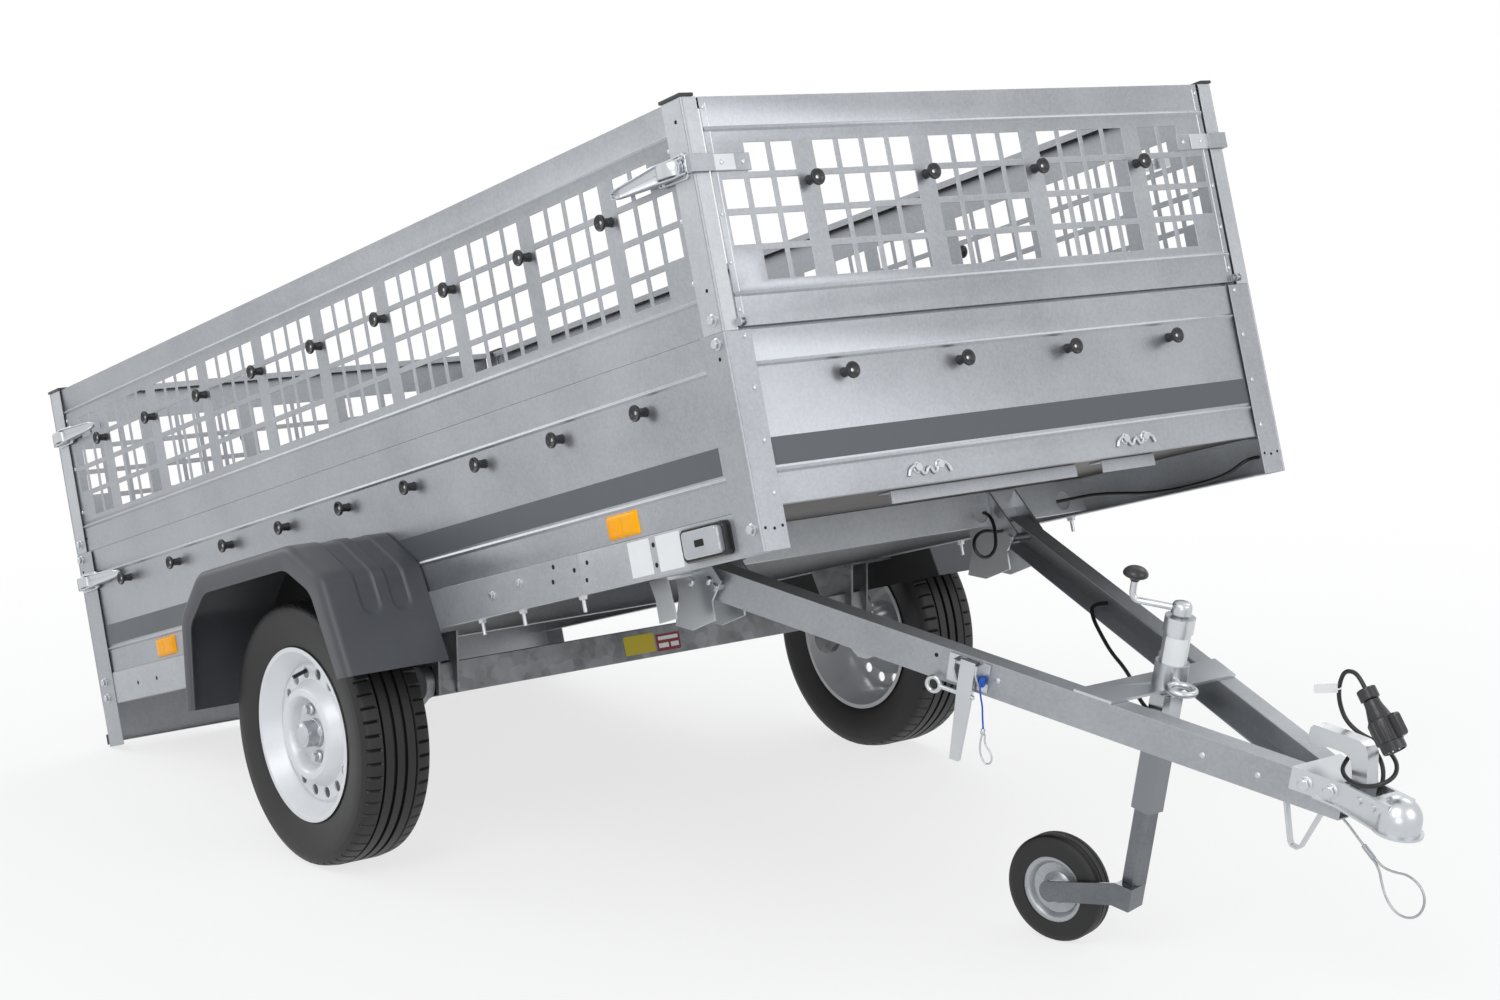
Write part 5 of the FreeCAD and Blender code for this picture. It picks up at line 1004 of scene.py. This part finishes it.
class TRAILER_OT_mudguards(bpy.types.Operator):
    """Moulded mudguards: a section with a rolled edge swept along the outline, with two sunk grooves"""
    bl_idname = "trailer.mudguards"
    bl_label = "Mudguards"

    def execute(self, context):
        u = np.linspace(0, 1, TOP_STEPS)
        top = np.stack([GUARD_INNER - u * (GUARD_INNER - GUARD_OUTER - GUARD_EDGE), 0 * u], 1)
        corner = np.linspace(0, math.pi / 2, CORNER_STEPS)[1:]
        edge = np.stack([GUARD_OUTER + GUARD_EDGE * (1 - np.sin(corner)),
                         GUARD_EDGE * (1 - np.cos(corner))], 1)
        lip = [(GUARD_OUTER, LIP_FROM), (GUARD_OUTER + LIP_SET, LIP_FROM + 2),
               (GUARD_OUTER + LIP_SET, GUARD_SKIRT), (GUARD_OUTER + GUARD_WALL, GUARD_SKIRT),
               (GUARD_OUTER + GUARD_WALL, GUARD_EDGE),
               (GUARD_OUTER + GUARD_EDGE * 0.6, GUARD_EDGE * 0.6), (GUARD_OUTER + GUARD_EDGE, GUARD_WALL),
               (GUARD_INNER, GUARD_WALL)]
        section = np.concatenate([top, edge, lip])
        first, inward = guard_outline(0), guard_outline(1) - guard_outline(0)
        run = np.concatenate([[0], np.cumsum(np.linalg.norm(np.diff(first, axis=0), axis=1))])
        s = np.unique(np.concatenate([run, np.linspace(0, run[-1], RUN_STEPS)]))
        line = np.stack([np.interp(s, run, first[:, i]) for i in (0, 1)], 1)
        inward = np.stack([np.interp(s, run, inward[:, i]) for i in (0, 1)], 1)
        from_middle = np.abs(s - run[-1] / 2)[:, None]
        off_end = np.maximum(GROOVE_START - from_middle, np.maximum(from_middle - GROOVE_END, 0))
        sunk = np.broadcast_to(section[:, 1], (len(s), len(section))).copy()
        for middle in GROOVE_MIDDLES:
            off_line = np.hypot(off_end, (section[:len(u), 0] - GUARD_OUTER - middle)[None, :])
            sunk[:, :len(u)] += GROOVE_DEPTH * np.clip((GROOVE_HALF - off_line) / GROOVE_SLOPE, 0, 1)
        flat = line[:, None, :] + sunk[:, :, None] * inward[:, None, :]
        sideways = np.broadcast_to(section[:, 0], flat.shape[:2])
        guard = lofted(np.stack([flat[:, :, 0] + WHEEL_X, sideways, flat[:, :, 1]], 2))
        # Near black sheet just inside each guard: painted shade of the guard's inside
        shade_sheet = plate(guard_outline(2) + [WHEEL_X, 0], GUARD_INNER - 0.1, GUARD_INNER - GUARD_WALL)
        for side, turned in (("right", unturned), ("left", turned_over)):
            node = "mudguard_" + side
            piece(node + "_moulded", turned(guard), "guard_plastic", "chassis", smooth=35, replaces=(node,))
            piece(node + "_lining", turned(shade_sheet), "guard_lining", "chassis")
        return {"FINISHED"}


# Drawbar: rivets and holes along and up a beam from the jockey tube, and the coupling's fasteners by x, z and
# size, where no size is a rivet's dome
COUPLING_SHELL = 4
BEAM_RIVETS, BEAM_HOLES = ((-203, 4), (194, -1), (296, -2)), ((-330, 12), (392, 8))
COUPLING_BOLTS = ((1124, 13, 1.25), (1166, 16, 1.25), (1221, 19, 0), (1250, 20, 0))


def placed(place, shape):
    """The shape with its points placed."""
    points, faces = shape
    return place(points), faces


class TRAILER_OT_drawbar_marks(bpy.types.Operator):
    """Bolts, holes and rivets of the drawbar and its coupling"""
    bl_idname = "trailer.drawbar_marks"
    bl_label = "Drawbar marks"

    def execute(self, context):
        bits, holes = [], []
        for side in (-1, 1):
            place = on_beam(TUBE_X, side)
            bits.append(placed(place, heads(RIVET, [(a, 0, z) for a, z in BEAM_RIVETS], OUT, 1.2)))
            holes.append(placed(place, heads(HOLE, [(a, 0, z) for a, z in BEAM_HOLES], OUT, 1.1)))
            for x, z, size in COUPLING_BOLTS:
                at = [(0, -COUPLING_SHELL, z)]
                head = bolts(at, OUT, size) if size else heads(DOME, at, OUT, 0.9)
                bits.append(placed(on_beam(x, side), head))
        piece("drawbar_bolts", joined(bits), "bright_zinc", "drawbar", place=as_placed)
        # Holes as thin dark discs: painted shade
        piece("drawbar_holes", joined(holes), "shade", "drawbar", place=as_placed)
        return {"FINISHED"}


# Plug along its own axis from the cable's end: distance and radius, in millimetres. Eyes are rings on the
# plug's neck and in the blank tag, by radius and wire
NUT = [(0, 0), (0, 15), (1.5, 16.8), (18.5, 16.8), (20, 15), (20, 0)]
GRIP = softened([(19, 0), (19, 13.5), (30, 14), (44, 18), (55, 20.5), (56, 22.6), (60, 23)], 1).tolist()
COLLAR = [(92, 23), (95, 22.4), (96, 20.8), (108, 20.8), (111, 20), (111.6, 18), (106, 17), (106, 0)]
GRIP_RIBS, GRIP_RIB_WIRE, GRIP_RIB_PATH = 14, 1.5, ((58, 22.4), (76, 22.7), (94, 22.4))
PIN, PINS, PIN_CIRCLE, PIN_FOOT = [(0, 0), (0, 2), (4, 2), (5, 1.2), (5, 0)], 6, 11.5, 105
LUG_OUTLINE, LUG_HALF = oblong(56, 96, 7, 37, 7), 7
TAG_OUTLINE, TAG_HALF = oblong(-3, 40, -8, 8, 3), 0.5
TAG_PLACE, TAG_ALONG = [1106, 12, 165], np.array([-0.607, -0.783, -0.137])
TAG_EYE, NECK_EYE = (4.6, 1.3), (8.6, 2.4)


class TRAILER_OT_plug(bpy.types.Operator):
    """Plug with its ribbed grip, lug and pins, and the blank tag and ring on its cable"""
    bl_idname = "trailer.plug"
    bl_label = "Plug"

    def execute(self, context):
        down, rise = math.sin(PLUG_SLOPE), math.cos(PLUG_SLOPE)
        place = within(bar_place, PLUG_START, np.array([(rise, 0, -down), (0, 1, 0), (down, 0, rise)]))
        ribs = [tube([(x, r * math.cos(t), r * math.sin(t)) for x, r in GRIP_RIB_PATH], GRIP_RIB_WIRE,
                     (0.1, 1, 0.3), 6)
                for t in np.linspace(0, math.tau, GRIP_RIBS, endpoint=False)]
        shape = joined([revolved(NUT, (0, 0, 0), FORE, 12), revolved(GRIP + COLLAR, (0, 0, 0), FORE, 40),
                        plate(LUG_OUTLINE, -LUG_HALF, LUG_HALF, edge=1.5)] + ribs)
        piece("plug_moulded", shape, "knob_plastic", "drawbar", place=place, smooth=35,
              replaces=("electric_plug",))
        pins = heads(PIN, [(PIN_FOOT, PIN_CIRCLE * math.cos(t), PIN_CIRCLE * math.sin(t))
                           for t in np.linspace(0, math.tau, PINS, endpoint=False)], FORE)
        piece("plug_pins", pins, "bright_zinc", "drawbar", place=place)
        aside = np.cross((0, 0, 1), TAG_ALONG)
        rows = np.array([TAG_ALONG, aside, np.cross(TAG_ALONG, aside)])
        rows /= np.linalg.norm(rows, axis=1, keepdims=True)
        tag = joined([plate(TAG_OUTLINE, -TAG_HALF, TAG_HALF), ring((0, 0, 0), (0.2, 0, 1), *TAG_EYE)])
        piece("cable_tag", tag, "label", "drawbar", place=within(bar_place, TAG_PLACE, rows))
        piece("plug_ring", ring((1.5, 0, 0), FORE, *NECK_EYE), "blank_plate", "drawbar", place=place)
        return {"FINISHED"}


# Jockey wheel: how far the crank and the fork stand turned, the crank's hub, rod and knob, the label round
# the tube, and the tyre's and the rim's outlines as (distance across, radius) of one half, in millimetres
JOCKEY_TURN, CRANK_TURN = math.radians(12.5), math.radians(217)
CRANK_HUB = softened([(0, 0), (0, 18), (20, 18), (26, 14), (27, 0)], 1)
CRANK_REACH, CRANK_LOW, CRANK_HIGH, CRANK_BEND, CRANK_ROD = 88, 13.5, 49.5, 16, 6
CRANK_KNOB = softened([(46.5, 0), (46.5, 8), (52, 9), (56, 21), (61, 23), (68, 19.5), (73, 11.5),
                       (74.5, 0)], 2)
LABEL_FROM, LABEL_TO, LABEL_COLUMNS = math.radians(-98), math.radians(4), 25
LABEL_EDGES = ((24.1, 77), (24.6, 77), (24.6, 130), (24.1, 130))
JOCKEY_TYRE = np.array([(25, 62), (25, 84), (24, 90), (20, 97), (14, 100), (9.4, 100), (8.6, 98), (6.4, 98),
                        (5.6, 100)])
JOCKEY_RIM = np.array([(22, 61.7), (22, 56), (19, 52), (10, 47), (7, 30), (12, 24), (25, 20), (27, 17),
                       (27, 6.8)])


def wheel_ring(half, turns):
    """Both halves of an outline turned round the axle, closed along the outline as well."""
    return revolved(np.concatenate([half, half[::-1] * [-1, 1]]), (0, 0, 0), (0, 1, 0), turns, closed=True)


class TRAILER_OT_jockey(bpy.types.Operator):
    """Crank, blank label and wheel of the jockey wheel"""
    bl_idname = "trailer.jockey"
    bl_label = "Jockey wheel"

    def execute(self, context):
        crank = within(bar_place, [TUBE_X, 0, TUBE_TOP], turn_z(CRANK_TURN))
        body = NODES["jockey_crank"]["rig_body"]
        hub = revolved(CRANK_HUB, (0, 0, 0), UP, 32)
        path = bent([(0, 0, CRANK_LOW), (CRANK_REACH, 0, CRANK_LOW), (CRANK_REACH, 0, CRANK_HIGH)],
                    CRANK_BEND, 9)
        piece("crank_rod", joined([hub, tube(path, CRANK_ROD, turns=14)]), "bright_zinc", body, place=crank,
              replaces=("jockey_crank",))
        piece("crank_knob", revolved(CRANK_KNOB, (CRANK_REACH, 0, 0), UP, 36), "knob_plastic", body,
              place=crank)
        turn = np.linspace(LABEL_FROM, LABEL_TO, LABEL_COLUMNS)[:, None]
        radius, level = np.array(LABEL_EDGES).T
        band = np.stack([TUBE_X + radius * np.cos(turn), radius * np.sin(turn),
                         np.broadcast_to(level, (len(turn), len(level)))], 2)
        piece("jockey_label", lofted(band), "label", "drawbar", place=bar_place)
        axle = (np.array(JOINTS["jockey_spin"]["pos_m"]) - TIP_HINGE) / MM @ BAR_AXES
        wheel = within(bar_place, axle, turn_z(JOCKEY_TURN))
        piece("jockey_tyre_moulded", wheel_ring(JOCKEY_TYRE, 64), "solid_rubber",
              NODES["jockey_tyre"]["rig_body"], place=wheel, smooth=30, replaces=("jockey_tyre",))
        piece("jockey_rim_pressed", wheel_ring(JOCKEY_RIM, 48), "frame_zinc",
              NODES["jockey_rim"]["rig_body"], place=wheel, replaces=("jockey_rim",))
        return {"FINISHED"}


# Cords: each route repeats the part's points, in millimetres of the drawbar's or the box's frame
CABLE_TO_PLUG = [
    (330, 293.3, -12), (319.87, 260.85, -12), (348, 237, -25), (404, 209, -38), (472, 168, -41),
    (542, 126, -34), (604, 80, -25), (658, 34, -15), (712, -12, -9), (776, -46, -7), (856, -55, -11),
    (940, -49, -15), (1022, -34, -13), (1095, -17, -7), (1150, -2, -3), (1187, 8, -1), (1211, 19, 10),
    (1221, 22, 36), (1215, 25, 64), (1194, 27, 85), (1172, 25, 86), (1156, 19, 72), (1154, 5, 57),
    (1164, -16, 48), (1190, -34, 46), (1225, -43, 49), (1255, -35, 62), (1265, -12, 77), (1248, 13, 88),
    (1217, 28, 95), (1182, 34, 97), (1148, 31, 99), (1122, 26, 112), (1109, 21, 135), (1105, 16, 157),
    (1107, 12, 179), (1116, 7, 200), (1138, 2, 208.5)]
PLUG_LEAD = 16
ROPE_TO_SLEEVE = [(1140, 12, -42), (1156, 12, -42), (1174, 17, -52)]
SLEEVE_REAR, SLEEVE_LENGTH = np.array([1205.0, 26, -78]), 28
SLEEVE_SLOPE, SLEEVE_TURN = math.radians(34.9), math.radians(8.5)
ROPE_OFFSET = 2.35
ROPE_LOOP = [(1267, 35, -101), (1292, 36, -94), (1316, 37, -99), (1333, 36, -113), (1337, 35, -134),
             (1328, 34, -154), (1308, 33, -165), (1285, 33, -164), (1264, 33, -150), (1249, 34, -129)]
LANYARD_BEAM_X, LANYARD_START = 517, (30, -4.3, 0)
LANYARD = np.array([(0, 0, 0), (0, -11, 0), (2, -18, -9), (6, -18, -25), (11, -14, -45), (13, -12, -65),
                    (18, -12, -86)])
HOOK = softened([(0, 0, -7), (-2, 0, -22), (-1, 0, -38), (4, 0, -52), (14, 0, -62), (24, 0, -58),
                 (26, 0, -46), (18, 0, -34), (7, 0, -26), (5, 0, -9)], 3)
HOOK_WIRE = 1.7
KNOT = softened([(-6, 0), (-6, 4), (-2, 6.5), (3, 5), (7, 6), (11, 3), (11, 0)], 1)
SWIVEL = [(-1, 0), (-1, 2.4), (1.5, 4.2), (8.5, 4.2), (11, 2.4), (11, 0)]
# Straight lead of the rope's ends at the sleeve, in front of it and back to it
SLEEVE_LEAD, LOOP_LEAD, LOOP_RETURN = 17, 17, 15
CABLE_TO_BOX = [
    (2646, 647.7, 37), (2646, 624, 37), (2634, 610, 31), (2612, 604, 20), (2572, 605, 12), (2505, 611, 9),
    (2430, 612, 8.5), (2362, 606, 14), (2306, 591, 25), (2258, 571, 32), (2220, 556, 33), (2191, 545, 33),
    (2169, 521, 33), (2160, 487, 34), (2157, 444, 35), (2158, 402, 35), (2162, 366, 34), (2173, 336, 33),
    (2193, 312, 33), (2219, 304, 26), (2237, 295, 8), (2246, 286, -17), (2250, 277, -42), (2250, 259, -58),
    (2248, 238, -59), (2245, 224, -43), (2242, 228, -22), (2238, 247, -9), (2235, 271, -5), (2226, 298, -8),
    (2207, 320, -10), (2207, 341.5, -10)]


def cord(node, route, diameter, material):
    """Cord as one open spline with the route's points as its control points."""
    line = bpy.data.curves.new(node + "_cord", "CURVE")
    line.dimensions = "3D"
    spline = line.splines.new("NURBS")
    spline.points.add(len(route) - 1)
    spline.points.foreach_set("co", np.insert(route, 3, 1.0, axis=1).ravel())
    spline.order_u = 3
    spline.use_endpoint_u = True
    line.resolution_u, line.bevel_resolution = 8, 4
    line.bevel_depth = diameter / 2
    line.use_fill_caps = True
    line.materials.append(FINISH[material])
    obj = bpy.data.objects.new(node + "_cord", line)
    bpy.context.scene.collection.objects.link(obj)
    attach(obj, NODES[node]["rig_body"])
    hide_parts(node)


class TRAILER_OT_cords(bpy.types.Operator):
    """Cables, wire rope and lanyard"""
    bl_idname = "trailer.cords"
    bl_label = "Cords"

    def execute(self, context):
        plug_axis = np.array([math.cos(PLUG_SLOPE), 0, -math.sin(PLUG_SLOPE)])
        to_plug = np.concatenate([CABLE_TO_PLUG, [PLUG_START - plug_axis * PLUG_LEAD, PLUG_START]])
        cord("electric_cable", bar_place(to_plug), diameter=0.0076,
             material="cable_sheath")
        axis = np.array([math.cos(SLEEVE_SLOPE) * math.cos(SLEEVE_TURN), math.sin(SLEEVE_TURN),
                         -math.sin(SLEEVE_SLOPE) * math.cos(SLEEVE_TURN)])
        aside = np.array([math.sin(SLEEVE_SLOPE), 0, math.cos(SLEEVE_SLOPE)]) * ROPE_OFFSET
        face = SLEEVE_REAR + axis * SLEEVE_LENGTH
        to_sleeve = np.concatenate([ROPE_TO_SLEEVE, [SLEEVE_REAR - axis * SLEEVE_LEAD, SLEEVE_REAR]])
        cord("breakaway_cable", bar_place(to_sleeve), diameter=0.0044,
             material="steel_rope")
        loop = np.concatenate([[face + aside, face + aside + axis * LOOP_LEAD], ROPE_LOOP,
                               [face - aside + axis * LOOP_RETURN, face - aside]])
        cord("breakaway_loop", bar_place(loop), diameter=0.0044,
             material="steel_rope")
        beam, route = on_beam(LANYARD_BEAM_X), LANYARD + LANYARD_START
        piece("lanyard_hook", tube(HOOK + route[-1], HOOK_WIRE), "bright_zinc", "drawbar", place=beam,
              replaces=("lanyard_clip",))
        piece("lanyard_knot", revolved(KNOT, np.add(LANYARD_START, (0, -9, -1)), (0.2, 0, -1), 14),
              "blue_cord", "drawbar", place=beam)
        piece("lanyard_swivel", revolved(SWIVEL, route[-1], DOWN, 16), "bright_zinc", "drawbar", place=beam)
        cord("lanyard", beam(route), diameter=0.0032, material="blue_cord")
        cord("frame_cable", box_place(CABLE_TO_BOX), diameter=0.0072,
             material="cable_sheath")
        return {"FINISHED"}


# Stage in metres and watts: the floor, and how far from the middle its shadow fades into the white studio,
# soft area lamps as name, place, what they point at, power and width, and the camera from the tip hinge,
# fitted to the photo
FLOOR_HALF, FLOOR_THICK = 30, 0.05
FADE_FROM, FADE_TO, FADE_SHARE = 1.8, 4.6, 0.74
SKY_COLOUR, SKY_STRENGTH = "#e9edf2", 0.62
LIGHTS = (("key", (3.5, -5.0, 5.5), (0.0, -0.5, 0.6), 185, 4.0),
          ("front", (7.0, 1.5, 3.2), (1.0, 0.0, 0.6), 80, 3.5),
          ("back", (-4.5, 4.5, 5.0), (0.0, 0.5, 0.6), 150, 4.0),
          ("side_low", (-6.0, -3.5, 3.2), (0.0, -0.6, 0.6), 60, 2.5),
          ("front_high", (1.0, 5.0, 5.5), (1.2, 0.0, 0.7), 35, 2.5),
          ("low_fill", (5.5, -5.0, 0.7), (1.3, 0.0, 0.4), 45, 2.5))
EYE_FROM_HINGE, EYE_TURN = (3.94044, -3.43461, 0.90208), (81.5127, 1.3719, 51.5237)
EYE_LENS, EYE_SENSOR, EYE_REACH = 65.21, 36.0, 200


class TRAILER_OT_stage(bpy.types.Operator):
    """Floor, light and camera"""
    bl_idname = "trailer.stage"
    bl_label = "Stage"

    def execute(self, context):
        scene = context.scene
        outline = rectangle(-FLOOR_HALF, FLOOR_HALF, -FLOOR_HALF, FLOOR_HALF)
        points, faces = plate(outline, -FLOOR_THICK, 0, axis=2)
        mesh = bpy.data.meshes.new("floor")
        mesh.from_pydata(points.tolist(), [], faces)
        floor = bpy.data.objects.new("floor", mesh)
        scene.collection.objects.link(floor)
        mesh.materials.append(self.floor_finish())
        for name, where, aim, power, width in LIGHTS:
            light = bpy.data.lights.new(name, "AREA")
            light.energy, light.size = power, width
            lamp = bpy.data.objects.new(name, light)
            lamp.location = where
            lamp.rotation_euler = (Vector(aim) - Vector(where)).to_track_quat("-Z", "Y").to_euler()
            scene.collection.objects.link(lamp)
        world = bpy.data.worlds.new("studio")
        world.use_nodes = True
        tree = world.node_tree
        tree.nodes.clear()
        seen = add(tree, "ShaderNodeBackground", None, {"Color": [1, 1, 1, 1], "Strength": 1.0})
        lit = add(tree, "ShaderNodeBackground", None, {"Color": linear(SKY_COLOUR), "Strength": SKY_STRENGTH})
        mix = add(tree, "ShaderNodeMixShader", None,
                  {0: self.seen_rays(tree), 1: lit.outputs[0], 2: seen.outputs[0]})
        add(tree, "ShaderNodeOutputWorld", None, {"Surface": mix.outputs[0]})
        scene.world = world
        camera = bpy.data.cameras.new("photo_view")
        camera.lens, camera.sensor_width, camera.clip_end = EYE_LENS, EYE_SENSOR, EYE_REACH
        eye = bpy.data.objects.new("photo_view", camera)
        eye.location = TIP_HINGE + np.array(EYE_FROM_HINGE)
        eye.rotation_euler = [math.radians(a) for a in EYE_TURN]
        scene.collection.objects.link(eye)
        scene.camera = eye
        scene.view_settings.view_transform = "Standard"
        return {"FINISHED"}

    def seen_rays(self, tree):
        """Rays that see the white studio: the camera's, and those reflected or passed on to it."""
        rays = add(tree, "ShaderNodeLightPath")
        seen = rays.outputs["Is Camera Ray"]
        for name in ("Is Glossy Ray", "Is Transmission Ray"):
            either = add(tree, "ShaderNodeMath", {"operation": "MAXIMUM"}, {0: seen, 1: rays.outputs[name]})
            seen = either.outputs[0]
        return seen

    def floor_finish(self):
        """Pale floor that keeps the shadow near the trailer and fades to the white studio further out."""
        made, tree, core = shader("pale_floor", "#f4f4f3", 0.0, 0.9)
        place = add(tree, "ShaderNodeTexCoord").outputs["Object"]
        reach = add(tree, "ShaderNodeVectorMath", {"operation": "LENGTH"}, {0: place}).outputs["Value"]
        far = add(tree, "ShaderNodeMapRange", None,
                  {"Value": reach, "From Min": FADE_FROM, "From Max": FADE_TO, "To Min": FADE_SHARE})
        share = add(tree, "ShaderNodeMath", {"operation": "MULTIPLY"},
                    {0: far.outputs[0], 1: self.seen_rays(tree)})
        glow = add(tree, "ShaderNodeEmission", None, {"Color": [1, 1, 1, 1], "Strength": 1.0})
        mix = add(tree, "ShaderNodeMixShader", None,
                  {0: share.outputs[0], 1: core.outputs[0], 2: glow.outputs[0]})
        output = next(n for n in tree.nodes if n.bl_idname == "ShaderNodeOutputMaterial")
        tree.links.new(mix.outputs[0], output.inputs["Surface"])
        return made


class TRAILER_PT_pieces(bpy.types.Panel):
    """Lists the trailer's pieces"""
    bl_idname = "TRAILER_PT_pieces"
    bl_label = "Trailer"
    bl_space_type = "VIEW_3D"
    bl_region_type = "UI"
    bl_category = "Trailer"

    def draw(self, context):
        for operator in OPERATORS:
            self.layout.operator(operator.bl_idname)


OPERATORS = (TRAILER_OT_finishes, TRAILER_OT_stage, TRAILER_OT_solids, TRAILER_OT_plug, TRAILER_OT_cords,
             TRAILER_OT_wall_marks, TRAILER_OT_box_fasteners, TRAILER_OT_knobs, TRAILER_OT_toggles,
             TRAILER_OT_lamps, TRAILER_OT_tyres, TRAILER_OT_hubs, TRAILER_OT_mudguards,
             TRAILER_OT_drawbar_marks, TRAILER_OT_jockey)
GROUPS = (TrailerFinishes, TrailerSizes)


def register():
    for made in GROUPS + OPERATORS + (TRAILER_PT_pieces,):
        bpy.utils.register_class(made)
    bpy.types.Scene.trailer_finishes = PointerProperty(type=TrailerFinishes)
    bpy.types.Scene.trailer_sizes = PointerProperty(type=TrailerSizes)


def unregister():
    del bpy.types.Scene.trailer_sizes
    del bpy.types.Scene.trailer_finishes
    for made in reversed(GROUPS + OPERATORS + (TRAILER_PT_pieces,)):
        bpy.utils.unregister_class(made)


def main():
    register()
    for operator in OPERATORS:
        group, name = operator.bl_idname.split(".")
        getattr(getattr(bpy.ops, group), name)()


if __name__ == "__main__":
    main()
